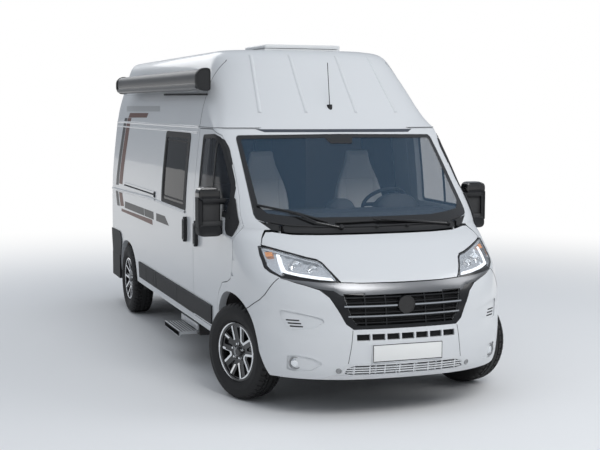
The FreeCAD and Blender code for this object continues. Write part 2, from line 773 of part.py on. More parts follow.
# Underside
rail_half = 430.0
rail_width = 90.0
rail_low = 385.0
floor_low = floor_top - floor_thick


tow_bolts = (430.0, 5510.0, 5810.0, 6.5)


def chassis_frame():
    pieces = []
    for side in (-1, 1):
        x0 = side * rail_half - rail_width / 2
        pieces.append(box(x0, x0 + rail_width, 420, 5880, rail_low, floor_low))
    for d in (480.0, 1560.0, 2700.0, 4200.0, 5700.0):
        pieces.append(box(-rail_half, rail_half, d - 40, d + 40, rail_low + 10, floor_low))
    for side in (-1, 1):
        x0 = side * rail_half - rail_width / 2
        for d in (4410.0, 5610.0):
            pieces.append(box(x0 + side * 70, x0 + rail_width + side * 70, d - 35, d + 35, rail_low - 30, floor_low))
    for side in (-1, 1):
        pieces.append(box(side * 260 - 30, side * 260 + 30, 205, 440, rail_low + 20, floor_low))
    pieces.append(box(-rail_half - 45, rail_half + 45, 400, 440, rail_low, floor_low))
    frame = joined(pieces)
    x, near, far, radius = tow_bolts
    holes = []
    for side in (-1, 1):
        for d in (near, far):
            holes.append(cylinder(radius, V(side * x, at(d), rail_low - 5), V(side * x, at(d), rail_low + 60)))
    return frame.cut(holes)


def inner_half(z, d):
    """Half width of the inner wall, a little short of it, at a height and a distance."""
    levels = nose_levels + screen_levels[1:] + roof_levels[1:]
    roof_start = roof_levels[0][0]
    if z > roof_start:
        z = roof_start + (z - roof_start) / (1 - roof_wall / (roof_top - roof_start))
    for low, high in zip(levels, levels[1:]):
        if low[0] <= z <= high[0]:
            share = (z - low[0]) / (high[0] - low[0])
            half = low[1] + share * (high[1] - low[1])
            return half - side_wall - 1.0 - side_taper * max(0.0, d - 870.0) / 4975.0
    return 0.0


def floor_pan():
    """Cabin floor, as wide as the room between the side walls."""
    edge = [(inner_half(floor_low, d), d) for d in (1000.0, 3400.0, 5840.0)]
    outline = edge + [(-x, d) for x, d in reversed(edge)]
    plate = polygon(outline, plan_view).extrude(V(0, 0, floor_thick))
    plate.translate(V(0, 0, floor_low))
    for arch in (front_arch, rear_arch):
        hole = along_x(arch_face(arch, liner), -1100, -arch_inner + liner)
        plate = plate.cut([hole, other_side(hole)])
    return plate


def room(d0, d1, x0, x1, z0, z1):
    """Block of furniture, cut back to the side walls."""
    heights = [z for z in (floor_top, 1100.0, 1500.0, 2005.0, 2060.0, 2130.0, 2200.0, 2280.0) if z0 < z < z1]
    heights = [z0] + heights + [z1]
    right = [(-inner_half(z, d1) + 6, z) for z in heights]
    left = [(-x, z) for x, z in reversed(right)]
    block = along_y(polygon(right + left, front_view), d0, d1)
    return block.common(box(x0, x1, d0, d1, z0, z1))


def wheelhouse(arch, top_x):
    """Right wheelhouse: a bent sheet over the wheel with a wall on its inner side."""
    solid = along_x(arch_face(arch, liner - seam, 60.0), -top_x, -arch_inner + liner)
    space = along_x(arch_face(arch, 0.0, 500.0), -1200, -arch_inner)
    below = box(-arch_inner - 0.1, -arch_inner + liner + 1, arch[0] - 600, arch[0] + 600, 200, floor_low)
    return solid.cut([space, below]).common(inner)


def front_suspension():
    pieces = [box(-420, 420, front_axle - 150, front_axle + 150, 235, rail_low)]
    for side in (-1, 1):
        x = side * kingpin_x
        pieces.append(cylinder(kingpin_radius, V(x, at(front_axle), kingpin_low - 40),
                               V(x, at(front_axle), kingpin_high + 25)))
        lower = Part.makePolygon([V(side * 400, at(front_axle - 140), 0), V(side * 400, at(front_axle + 140), 0),
                                  V(x + side * 25, at(front_axle + 26), 0), V(x + side * 25, at(front_axle - 26), 0),
                                  V(side * 400, at(front_axle - 140), 0)])
        arm = Part.Face(lower).extrude(V(0, 0, 30))
        arm.translate(V(0, 0, kingpin_low - 40))
        pieces.append(arm)
        pieces.append(box(min(side * 395, side * 425), max(side * 395, side * 425), front_axle - 140,
                          front_axle + 140, kingpin_low - 40, 250))
        inner_x = side * strut_x
        pieces.append(box(min(x + side * 20, inner_x - side * 20), max(x + side * 20, inner_x - side * 20),
                          front_axle - 24, front_axle + 24, kingpin_high - 8, kingpin_high + 25))
        pieces.append(cylinder(26.0, V(inner_x, at(front_axle), kingpin_high),
                               V(inner_x, at(front_axle), wheel_radius + front_arch[2] - seam - 1.2)))
        pieces.append(cylinder(62.0, V(inner_x, at(front_axle), 740), V(inner_x, at(front_axle), 790)))
    return joined(pieces)


strut_x = 735.0


def rear_axle():
    track = rear_track / 2
    beam = wheel_radius - 20.0
    pieces = [cylinder(38.0, V(-track + 60, at(rear_axle_d), beam), V(track - 60, at(rear_axle_d), beam))]
    for side in (-1, 1):
        tip = side * (track + rim_face + 2)
        pieces.append(cylinder(stub_radius, V(side * (track - 80), at(rear_axle_d), wheel_radius),
                               V(tip, at(rear_axle_d), wheel_radius)))
        pieces.append(cylinder(150.0, V(side * (track - 40), at(rear_axle_d), wheel_radius),
                               V(side * (track - 12), at(rear_axle_d), wheel_radius)))
        x = side * spring_x
        bow = Part.Arc(V(0, at(4380), 345), V(0, at(rear_axle_d), 285), V(0, at(5640), 345)).toShape()
        low = Part.Arc(V(0, at(5640), 325), V(0, at(rear_axle_d), 265), V(0, at(4380), 325)).toShape()
        ends = [Part.LineSegment(V(0, at(5640), 345), V(0, at(5640), 325)).toShape(),
                Part.LineSegment(V(0, at(4380), 325), V(0, at(4380), 345)).toShape()]
        leaf = Part.Face(Part.Wire([bow, ends[0], low, ends[1]]))
        leaf.translate(V(x - 35, 0, 0))
        pieces.append(leaf.extrude(V(70, 0, 0)))
        pieces.append(box(x - 42, x + 42, rear_axle_d - 60, rear_axle_d + 60, 262, wheel_radius))
        for d in (4410.0, 5610.0):
            pieces.append(box(x - 30, x + 30, d - 30, d + 30, 330, rail_low - 30))
    return joined(pieces)


spring_x = 500.0


def tank_and_silencer():
    tank = box(-360, 340, 2790, 3650, 300, floor_low - 8)
    silencer = cylinder(95.0, V(600, at(2300), 380), V(600, at(2900), 380))
    pipe = cylinder(28.0, V(600, at(1600), 380), V(600, at(2400), 380))
    pipe_rear = cylinder(28.0, V(600, at(2800), 380), V(600, at(4200), 380))
    hangers = [box(590, 610, d - 10, d + 10, 380, floor_low) for d in (1700.0, 2600.0, 4100.0)]
    tank_straps = [box(-340, -320, 2900, 2960, 400, floor_low), box(300, 320, 2900, 2960, 400, floor_low)]
    return Part.Compound([joined([tank] + tank_straps), joined([silencer, pipe, pipe_rear] + hangers)])


# Cab and living space
def dashboard():
    profile = [(1010, 1235), (1200, 1250), (1290, 1200), (1310, 1120), (1240, 1000), (1230, 700), (1120, 640),
               (1010, 640)]
    body = along_x(rounded(profile, 30.0, side_view), -880, 880)
    over_wheel = along_x(arch_face(front_arch, liner + 2), -1000, -arch_inner + liner + 2)
    body = body.cut([over_wheel, other_side(over_wheel)])
    cluster = along_x(rounded([(1150, 1225), (1160, 1330), (1250, 1340), (1300, 1210)], 20.0, side_view), 290, 600)
    wall = joined([box(-545, 545, 1000, 1012, floor_top, 1230), box(-870, 870, 1000, 1012, 830, 1230)])
    return joined([body, cluster, wall])


wheel_centre = (420.0, 1430.0, 1400.0)
column_angle = -42.0


def steering_wheel():
    ring = Part.makeTorus(180.0, 15.0)
    hub = Part.makeCylinder(48.0, 40.0, V(0, 0, -34))
    spokes = [Part.makeBox(360, 34, 14, V(-180, -17, -20)), Part.makeBox(34, 175, 14, V(-17, -175, -20))]
    bore = Part.makeCylinder(14.0 + running_gap, 30.0, V(0, 0, -40))
    return steer_placed(joined([ring, hub] + spokes).cut(bore))


def steer_placed(shape):
    copy = shape.copy()
    copy.rotate(V(0, 0, 0), V(1, 0, 0), column_angle)
    copy.translate(V(wheel_centre[0], at(wheel_centre[1]), wheel_centre[2]))
    return copy


def steering_column():
    shaft = Part.makeCylinder(14.0, 60.0, V(0, 0, -72))
    shroud = Part.makeCylinder(45.0, 210.0, V(0, 0, -270))
    return steer_placed(joined([shaft, shroud]))


seat_x = 430.0


def seat():
    """Right seat: cushion and back as plain closed solids."""
    cushion = along_x(rounded([(1480, 930), (1480, 1036), (2010, 1036), (2010, 930)], 35.0, side_view), -240, 240)
    low, high = 1036 + seam, 1660.0
    back = along_x(rounded([(1884, low), (2014, high), (2094, high), (2044, low)], 30.0, side_view), -230, 230)
    low = high + seam
    head = along_x(rounded([(2005, low), (2030, 1830), (2095, 1830), (2095, low)], 25.0, side_view), -120, 120)
    shape = joined([cushion, back, head])
    shape.translate(V(-seat_x, 0, 0))
    return shape


def seat_base():
    base = box(-seat_x - 190, -seat_x + 190, 1560, 1960, floor_top, 930 - seam)
    return base


def cabinets():
    kitchen = room(2900, 3990, -1000, -420, floor_top, 1230)
    bath = room(3100, 4150, 330, 1000, floor_top, 2350)
    bench = room(2450, 2950, 330, 1000, floor_top, 930)
    carcass = room(4350, 5750, -1000, 1000, floor_top, 900).cut(box(-450, 450, 4300, 5800, floor_top - 1, 901))
    hole = along_x(arch_face(rear_arch, liner + 2), -1100, -arch_inner + liner + 2)
    carcass = carcass.cut([hole, other_side(hole)])
    return Part.Compound([kitchen, bath, bench, carcass])


def rear_bed():
    return along_x(rounded([(4355, 900 + seam), (4355, 1040), (5745, 1040), (5745, 900 + seam)], 30.0, side_view),
                   -870, 870)


# Outside fittings
def awning():
    """Wind-out awning case on its brackets along the right edge of the roof."""
    profile = rounded([(-1095, 2335), (-1100, 2400), (-1060, 2455), (-960, 2470), (-935, 2440), (-935, 2330),
                       (-990, 2310)], 35.0, front_view)
    case = along_y(profile, 1700, 5320)
    brackets = [box(-960, -800, d - 60, d + 60, 2345, 2425) for d in (2000.0, 3500.0, 5000.0)]
    return joined([case, Part.Compound(brackets).cut(outer_right)])


def side_cladding():
    """Dark strips along the lower sides, each following the wall it stands on."""
    strips = []
    for d0, d1 in ((slide_front + shut_gap + 8, slide_rear - 6), (slide_rear + 6, 4390)):
        strips.append(box(-1060, -900, d0, d1, 455, 612))
    return outward_band(strips, 12.0)


def outward_band(strips, proud):
    bands = []
    for strip in strips:
        band = outer_right.common(strip)
        moved = band.copy()
        moved.translate(V(-proud, 0, 0))
        bands.append(moved.cut(outer_right))
    return bands


def slide_rail():
    """Housing of the sliding door's rear rail, with its long slot."""
    housing = outward_band([box(-1060, -900, rail_ends[0], rail_ends[1], 1318, 1370)], 9.0)[0]
    return housing.cut(box(-1100, -900, rail_ends[0] - 10, rail_ends[1] - 60, 1336, 1352))


rail_ends = (3600.0, 5130.0)


def rear_bumper():
    """Dark corner and rear bumper, wrapped round the body."""
    half_front, half_rear = 1001.0, 996.0
    d0, d1, bend = 5425.0, overall_length, 150.0
    left = [V(half_front, at(d0), 0), V(half_rear, at(d1 - bend), 0)]
    corner = Part.Arc(left[1], V(half_rear - 0.293 * bend, at(d1 - 0.293 * bend), 0), V(half_rear - bend, at(d1), 0))
    mirror_plane = FreeCAD.Vector(1, 0, 0)
    edges = [Part.LineSegment(*left).toShape(), corner.toShape()]
    edges += [e.mirror(V(0, 0, 0), mirror_plane) for e in edges]
    edges.append(Part.LineSegment(V(half_rear - bend, at(d1), 0), V(bend - half_rear, at(d1), 0)).toShape())
    edges.append(Part.LineSegment(left[0], V(-half_front, at(d0), 0)).toShape())
    block = Part.Face(Part.Wire(Part.__sortEdges__(edges))).extrude(V(0, 0, 255))
    block.translate(V(0, 0, 300))
    hollow = box(-930, 930, d0 - 10, body_rear - 3, 200, 600)
    hole = along_x(arch_face(rear_arch, 4.0), -1100, 1100)
    return block.cut([outer, hollow, hole])


def tail_lamps():
    """Upright lamp wrapped round the right rear corner."""
    corner = outer_right.common(box(-1100, -885, 5855, 6100, 900, 1480))
    proud = rear_hinge[1] - 5 - 3
    lens = corner.copy()
    lens.translate(V(-4, proud, 0))
    return lens.cut(outer_right)


def aerial():
    """Roof aerial on the cap's front edge."""
    base = cylinder(22.0, V(0, at(1570), 2090), V(0, at(1590), 2190))
    mast = cylinder(3.0, V(0, at(1580), 2160), V(0, at(1640), 2530))
    return joined([base, mast]).cut(outer)


step_bottom = 262.0
step_travel = 160.0
step_lip_back = -1100.0


def step():
    """Entry step, drawn as it stands in the photo: out."""
    tread = box(step_lip_back, -960, 2200, 2750, step_bottom, 285)
    lip = box(step_lip_back - 12, step_lip_back, 2200, 2750, 245, 292)
    arms = [box(-962, -720, d, d + 40, step_bottom, 282) for d in (2240.0, 2670.0)]
    return joined([tread, lip] + arms)


def step_case():
    mouth = step_lip_back + step_travel + 2
    case = box(mouth, -520, 2180, 2770, 250, 330)
    room = box(-1000, -540, 2195, 2755, step_bottom - seam, 290)
    straps = [box(-720, -560, d, d + 60, 325, floor_low) for d in (2230.0, 2660.0)]
    return joined([case.cut(room)] + straps)


frame_rise = 14.0
lid_gap = 5.0
lid_thick = 30.0
lid_pin = 5.0
lid_boss = 10.0
lid_axis_z = roof_top + frame_rise + lid_gap + lid_thick / 2


def lid_hinge(hatch, radius, x0, x1):
    d = hatch[1] + 60
    return cylinder(radius, V(x0, at(d), lid_axis_z), V(x1, at(d), lid_axis_z))


def hatch_frame(hatch):
    """Frame on the roof with a collar through it, and an ear and a pin for the lid on each side."""
    d0, d1, half = hatch
    plate = box(-half - 40, half + 40, d0 - 40, d1 + 40, roof_top, roof_top + frame_rise)
    collar = box(-half + seam, half - seam, d0 + seam, d1 - seam, roof_top - roof_wall - 20, roof_top + frame_rise)
    room = box(-half + 22, half - 22, d0 + 22, d1 - 22, 2400, 3000)
    pieces = [joined([plate, collar]).cut(room)]
    for side in (-1, 1):
        x = side * (half - 40)
        for ear in (-1, 1):
            middle = x + ear * 24
            foot = box(middle - 6, middle + 6, d1 + 48, d1 + 68, roof_top, lid_axis_z)
            pieces.append(joined([foot, lid_hinge(hatch, 8.0, middle - 6, middle + 6)]))
        pieces.append(lid_hinge(hatch, lid_pin, x - 29, x + 29))
    return joined(pieces)


def hatch_lid(hatch):
    d0, d1, half = hatch
    low = roof_top + frame_rise + lid_gap
    top = box(-half - 42, half + 42, d0 - 42, d1 + 42, low, low + lid_thick)
    top = top.makeFillet(14.0, [e for e in top.Edges if e.BoundBox.ZMin > low + 1 or e.BoundBox.ZLength > 20])
    pieces = [top]
    for side in (-1, 1):
        x = side * (half - 40)
        arm = box(x - 16, x + 16, d1 + 30, d1 + 60, lid_axis_z - 8, lid_axis_z + 8)
        boss = joined([arm, lid_hinge(hatch, lid_boss, x - 16, x + 16)])
        pieces.append(boss.cut(lid_hinge(hatch, lid_pin + running_gap, x - 20, x + 20)))
    return joined(pieces)


def main():
    os.makedirs("parts", exist_ok=True)
    save("bonnet", bonnet())
    save("windscreen", windscreen())
    save("scuttle", scuttle())
    save("front_bumper", front_bumper())
    right_wing = wing()
    save("wing_right", right_wing)
    save("wing_left", other_side(right_wing))
    save("grille", grille())
    save("headlamps", headlamps())
    door = front_door()
    save("door_right", door)
    save("door_left", other_side(door))
    pane = front_glass()
    save("door_glass_right", pane)
    save("door_glass_left", other_side(pane))
    head = mirror()
    save("mirror_right", head)
    save("mirror_left", other_side(head))
    slide, outline = sliding_door()
    save("sliding_door", slide)
    pane = side_glass()
    save("side_windows", Part.Compound([pane, other_side(pane)]))
    side = body_side()
    window_hole = along_x(window_face(side_window), -1100, -700)
    save("body_left", other_side(side.cut(window_hole)))
    save("body_right", joined([side.cut(side_prism(outline, 0, -1100, -700)), slide_rail()]))
    save("roof_cap", roof_cap())
    save("roof_panel", roof_panel())
    door = rear_door()
    save("rear_door_right", door)
    save("rear_door_left", other_side(door))
    pane = rear_glass()
    save("rear_glass_right", pane)
    save("rear_glass_left", other_side(pane))
    save("floor_pan", floor_pan())
    house = wheelhouse(front_arch, 943.0)
    rear_house = wheelhouse(rear_arch, 919.0)
    save("wheelhouses", Part.Compound([house, other_side(house), rear_house, other_side(rear_house)]))
    save("chassis_frame", chassis_frame())
    save("front_suspension", front_suspension())
    save("rear_axle", rear_axle())
    save("tank_and_silencer", tank_and_silencer())
    save("engine_block", box(-330, 330, 300, 780, floor_low + seam, 930))
    save("radiator", box(-400, 400, 150, 205 - seam, rail_low + 20, 850))
    save("dashboard", joined([dashboard(), steering_column()]))
    save("steering_wheel", steering_wheel())
    chair = seat()
    base = seat_base()
    save("front_seats", Part.Compound([chair, other_side(chair), base, other_side(base)]))
    save("cabinets", cabinets())
    save("rear_bed", rear_bed())
    save("awning", awning())
    strips = side_cladding()
    save("side_cladding", Part.Compound(strips + [other_side(strip) for strip in strips]))
    save("aerial", aerial())
    save("rear_bumper", rear_bumper())
    lens = tail_lamps()
    save("tail_lamps", Part.Compound([lens, other_side(lens)]))
    save("step", step())
    save("step_case", step_case())
    save("hatch_frames", Part.Compound([hatch_frame(hatch_front), hatch_frame(hatch_rear)]))
    save("hatch_lid_front", hatch_lid(hatch_front))
    save("hatch_lid_rear", hatch_lid(hatch_rear))
    tyre_shape, rim_shape, knuckle_shape = tyre(), rim(), knuckle()
    for side, name in ((-1, "right"), (1, "left")):
        save("knuckle_" + name, turned(placed(knuckle_shape, side, front_axle, front_track), side))
        save("front_tyre_" + name, turned(placed(tyre_shape, side, front_axle, front_track), side))
        save("front_rim_" + name, turned(placed(rim_shape, side, front_axle, front_track), side))
        save("rear_tyre_" + name, placed(tyre_shape, side, rear_axle_d, rear_track))
        save("rear_rim_" + name, placed(rim_shape, side, rear_axle_d, rear_track))


main()
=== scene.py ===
# %% [markdown]
# # A camper van, dressed
# The solid model gives every panel its real size and place. This script loads it as a fixed frame,
# gives each panel its finish, and adds what the solids leave out: glass edges, lamps, seams, stripes,
# tyres with tread, seats and small fittings. Each piece rides on the body that carries it.

# %% Load the frame
import math
import bpy
import bmesh
import numpy as np
from mathutils import Matrix, Vector
from mathutils.bvhtree import BVHTree


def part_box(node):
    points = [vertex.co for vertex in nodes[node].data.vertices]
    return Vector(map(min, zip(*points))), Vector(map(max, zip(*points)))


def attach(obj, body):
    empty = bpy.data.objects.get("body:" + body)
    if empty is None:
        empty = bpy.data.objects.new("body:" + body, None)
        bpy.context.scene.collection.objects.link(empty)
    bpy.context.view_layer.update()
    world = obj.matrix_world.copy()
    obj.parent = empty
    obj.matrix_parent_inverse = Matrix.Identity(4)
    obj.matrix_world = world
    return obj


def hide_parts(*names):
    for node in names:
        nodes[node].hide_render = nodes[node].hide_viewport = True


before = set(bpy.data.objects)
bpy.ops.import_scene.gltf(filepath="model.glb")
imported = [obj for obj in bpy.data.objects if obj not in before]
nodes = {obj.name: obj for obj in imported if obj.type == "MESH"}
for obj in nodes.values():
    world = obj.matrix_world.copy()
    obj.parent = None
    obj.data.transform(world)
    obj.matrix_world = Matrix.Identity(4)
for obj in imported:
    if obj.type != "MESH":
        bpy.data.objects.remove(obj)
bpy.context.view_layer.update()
print("nodes", len(nodes))

# %% [markdown]
# ## Places on the van
# Lengths along the van are easiest to think of as distances behind the front bumper. The frame's origin is
# halfway along, so a distance becomes a Y by taking off half the length.

# %% Distances
half_length = 5.998 / 2
front_axle, rear_axle = 0.948, 4.983
wheel_radius = 0.36
steered = math.radians(20)
beside, before_nose = 2.0, -4.0


def at(distance):
    return distance - half_length


def place(x, distance, z):
    return Vector((x, at(distance), z))


# %% [markdown]
# ## Camera
# The photograph was taken from the front right corner, about eight metres away and a little above the bonnet,
# with a moderate tele lens. The angles come from the van's own level lines and its symmetric front.

# %% Camera
camera_data = bpy.data.cameras.new("camera")
camera = bpy.data.objects.new("camera", camera_data)
bpy.context.collection.objects.link(camera)
bpy.context.scene.camera = camera
camera_yaw, camera_pitch, camera_roll = 0.335026, -0.0980257, 0.00215
camera_data.sensor_width = 36.0
camera_data.lens = 1209.48 / 600 * 36.0
forward = Vector((math.sin(camera_yaw) * math.cos(camera_pitch), math.cos(camera_yaw) * math.cos(camera_pitch),
                  math.sin(camera_pitch)))
right = Vector((math.cos(camera_yaw), -math.sin(camera_yaw), 0))
up = right.cross(forward)
turn = Matrix((right, up, -forward)).transposed().to_4x4()
camera.matrix_world = Matrix.Translation(place(-3.45656, -7.62076, 2.18041)) @ turn @ Matrix.Rotation(camera_roll,
                                                                                                      4, "Z")

# %% [markdown]
# ## Floor and light
# A plain pale floor and a soft sky. Where the camera, a mirror-like surface or glass looks past the van it sees
# white, so the background stays clean while the lamps stay at a plain level.

# %% Floor and light
scene = bpy.context.scene
scene.view_settings.view_transform = "Standard"
world = bpy.data.worlds.new("soft_sky")
scene.world = world
world.use_nodes = True
sky = world.node_tree
sky.nodes.clear()
sky_out = sky.nodes.new("ShaderNodeOutputWorld")
lit = sky.nodes.new("ShaderNodeBackground")
lit.inputs["Color"].default_value = (0.78, 0.84, 0.92, 1)
heading = sky.nodes.new("ShaderNodeTexCoord")
split = sky.nodes.new("ShaderNodeSeparateXYZ")
height = sky.nodes.new("ShaderNodeMapRange")
height.inputs["From Min"].default_value = -0.2
height.inputs["From Max"].default_value = 1.0
height.inputs["To Min"].default_value = 0.26
height.inputs["To Max"].default_value = 0.80
sky.links.new(heading.outputs["Generated"], split.inputs[0])
sky.links.new(split.outputs["Z"], height.inputs["Value"])
sky.links.new(height.outputs["Result"], lit.inputs["Strength"])
seen = sky.nodes.new("ShaderNodeBackground")
seen.inputs["Color"].default_value = (1, 1, 1, 1)
path = sky.nodes.new("ShaderNodeLightPath")
pick = sky.nodes.new("ShaderNodeMixShader")
sky.links.new(path.outputs["Is Camera Ray"], pick.inputs[0])
sky.links.new(lit.outputs[0], pick.inputs[1])
sky.links.new(seen.outputs[0], pick.inputs[2])
sky.links.new(pick.outputs[0], sky_out.inputs[0])


def softbox(name, where, aim, size, power):
    data = bpy.data.lights.new(name, "AREA")
    data.shape = "DISK"
    data.size = size
    data.energy = power
    lamp = bpy.data.objects.new(name, data)
    bpy.context.collection.objects.link(lamp)
    lamp.location = where
    lamp.rotation_euler = (Vector(aim) - Vector(where)).to_track_quat("-Z", "Y").to_euler()


softbox("key_light", (0.5, -9.5, 8.5), (0, -1, 1), 5.0, 440)
softbox("fill_light", (7.0, -5.0, 6.0), (0, -1, 1), 5.0, 160)
softbox("rear_light", (-2.0, 10.0, 7.0), (0, 1, 1), 6.0, 190)


# %% [markdown]
# ## Modelling helpers
# Every piece starts as a primitive and is shaped in edit mode. A fresh primitive is added with nothing else
# selected, and its points are then picked by code instead of by mouse.

# %% Modelling helpers
def pick_only(piece=None):
    if bpy.context.object and bpy.context.object.mode != "OBJECT":
        bpy.ops.object.mode_set(mode="OBJECT")
    bpy.ops.object.select_all(action="DESELECT")
    if piece:
        piece.select_set(True)
        bpy.context.view_layer.objects.active = piece


def settle(piece):
    """Put the piece's place into its mesh and leave its object at the origin."""
    pick_only(piece)
    bpy.ops.object.transform_apply(location=True, rotation=True, scale=True)


def finish_piece(piece, body, material, smooth=35):
    settle(piece)
    if smooth:
        bpy.ops.object.shade_smooth_by_angle(angle=math.radians(smooth))
    piece.data.materials.clear()
    piece.data.materials.append(material)
    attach(piece, body)
    return piece


def facing(direction):
    """The turn that points a spun piece's axis along a direction."""
    return direction.to_track_quat("X", "Z").to_matrix().to_4x4()


def apply_modifiers(piece):
    pick_only(piece)
    for modifier in list(piece.modifiers):
        bpy.ops.object.modifier_apply(modifier=modifier.name)


def rounded_edges(piece, width, segments=2):
    modifier = piece.modifiers.new("bevel", "BEVEL")
    modifier.width = width
    modifier.segments = segments
    modifier.limit_method = "ANGLE"
    apply_modifiers(piece)


def block(name, low, high, body, material, bevel=0.004):
    """A rounded block between two corners."""
    pick_only()
    centre = (Vector(low) + Vector(high)) / 2
    bpy.ops.mesh.primitive_cube_add(size=1, location=centre)
    piece = bpy.context.object
    piece.name = piece.data.name = name
    piece.scale = Vector(high) - Vector(low)
    settle(piece)
    rounded_edges(piece, bevel)
    return finish_piece(piece, body, material)


def turned(name, profile, steps, body, material, axis_place, axis_turn, smooth=35):
    """A round piece: the profile, given as distance along the axis and radius, is spun about the X axis."""
    pick_only()
    bpy.ops.mesh.primitive_plane_add(size=0.01)
    piece = bpy.context.object
    piece.name = piece.data.name = name
    bpy.ops.object.mode_set(mode="EDIT")
    mesh = bmesh.from_edit_mesh(piece.data)
    bmesh.ops.delete(mesh, geom=mesh.verts[:], context="VERTS")
    points = [mesh.verts.new((x, 0, r)) for x, r in profile]
    for first, second in zip(points, points[1:]):
        mesh.edges.new((first, second))
    bmesh.update_edit_mesh(piece.data)
    bpy.ops.mesh.select_all(action="SELECT")
    bpy.ops.mesh.spin(steps=steps, angle=2 * math.pi, center=(0, 0, 0), axis=(1, 0, 0))
    bpy.ops.mesh.select_all(action="SELECT")
    bpy.ops.mesh.remove_doubles(threshold=0.00005)
    bpy.ops.mesh.normals_make_consistent(inside=False)
    bpy.ops.object.mode_set(mode="OBJECT")
    piece.data.transform(Matrix.Translation(axis_place) @ axis_turn)
    return finish_piece(piece, body, material, smooth)


# %% [markdown]
# Many details lie on the curved skin: seams, bands, stripes, the lamp covers. A ray sent at the panels from the
# front or from the side finds the skin, and a fine strip laid on such points follows it exactly.

# %% Points on the skin
skin_names = ["body_right", "body_left", "roof_cap", "roof_panel", "wing_right", "wing_left", "scuttle",
              "windscreen",
              "front_bumper", "grille", "headlamps", "bonnet", "door_right", "door_left", "sliding_door",
              "side_windows",
              "door_glass_right", "door_glass_left", "rear_door_right", "rear_door_left"]


def tree_of(names):
    points, faces = [], []
    for name in names:
        mesh = nodes[name].data
        start = len(points)
        points += [v.co.copy() for v in mesh.vertices]
        faces += [[start + i for i in p.vertices] for p in mesh.polygons]
    return BVHTree.FromPolygons(points, faces)


skin = tree_of(skin_names)


def seen_from(tree, start, along):
    """Where a ray meets the panels, with the normal that faces the start."""
    hit, normal, _, _ = tree.ray_cast(Vector(start), Vector(along))
    return hit, (-normal if hit is not None and normal.dot(Vector(along)) > 0 else normal)


def from_front(x, z):
    """Skin point seen from the front at this width and height."""
    return seen_from(skin, (x, before_nose, z), (0, 1, 0))


def from_side(side, distance, z, tree=skin):
    """Skin point seen from the right (-1) or left (1) side."""
    return seen_from(tree, (side * beside, at(distance), z), (-side, 0, 0))


def resample(line, count):
    """Evenly spaced points along a polyline."""
    lengths = [0.0]
    for a, b in zip(line, line[1:]):
        lengths.append(lengths[-1] + math.dist(a, b))
    points = []
    for i in range(count + 1):
        want = lengths[-1] * i / count
        k = max(j for j in range(len(line)) if lengths[j] <= want + 1e-9)
        k = min(k, len(line) - 2)
        share = (want - lengths[k]) / max(lengths[k + 1] - lengths[k], 1e-9)
        points.append(tuple(p + share * (q - p) for p, q in zip(line[k], line[k + 1])))
    return points


def strip(name, rows, body, material, thick=0.0006, smooth=35, closed_form=True):
    """A sheet whose rows of points were found on the skin, thickened outwards."""
    columns = len(rows[0]) - 1
    pick_only()
    bpy.ops.mesh.primitive_grid_add(x_subdivisions=columns, y_subdivisions=len(rows) - 1, size=1)
    piece = bpy.context.object
    piece.name = piece.data.name = name
    flat = [point for row in rows for point in row]
    for vert, point in zip(piece.data.vertices, flat):
        vert.co = point
    if closed_form:
        solid = piece.modifiers.new("thickness", "SOLIDIFY")
        solid.thickness = thick
        solid.offset = 0
        apply_modifiers(piece)
    pick_only(piece)
    bpy.ops.object.mode_set(mode="EDIT")
    bpy.ops.mesh.select_all(action="SELECT")
    bpy.ops.mesh.normals_make_consistent(inside=False)
    bpy.ops.object.mode_set(mode="OBJECT")
    return finish_piece(piece, body, material, smooth)


def between(find, low_line, high_line, columns, rows, lift):
    """Rows of skin points between two lines drawn in the front or side view."""
    low, high = resample(low_line, columns), resample(high_line, columns)
    result = []
    for j in range(rows + 1):
        share = j / rows
        row = []
        for a, b in zip(low, high):
            flat = [p + share * (q - p) for p, q in zip(a, b)]
            hit, normal = find(*flat)
            row.append(hit + normal * lift)
        result.append(row)
    return result


def ribbon_rows(find, line, width, columns, lift):
    """Rows for a narrow ribbon along a line in the front or side view."""
    middle = resample(line, columns)
    low, high = [], []
    for i, point in enumerate(middle):
        before, after = middle[max(i - 1, 0)], middle[min(i + 1, columns)]
        dx, dz = after[0] - before[0], after[1] - before[1]
        size = math.hypot(dx, dz) or 1.0
        nx, nz = -dz / size * width / 2, dx / size * width / 2
        low.append((point[0] - nx, point[1] - nz))
        high.append((point[0] + nx, point[1] + nz))
    rows = []
    for flat_row in (low, high):
        row = []
        for flat in flat_row:
            hit, normal = find(*flat)
            row.append(hit + normal * lift)
        rows.append(row)
    return rows


# %% [markdown]
# ## Finishes
# Each finish is a Principled shader fed by small procedural patterns. Fine grain and dust are used by
# several finishes, so they are node groups that each material places with its own values.

# %% Shared effects
def new_group(name, inputs, outputs):
    group = bpy.data.node_groups.new(name, "ShaderNodeTree")
    for label, kind, value in inputs:
        socket = group.interface.new_socket(name=label, in_out="INPUT", socket_type=kind)
        if value is not None:
            socket.default_value = value
    for label, kind in outputs:
        group.interface.new_socket(name=label, in_out="OUTPUT", socket_type=kind)
    return group


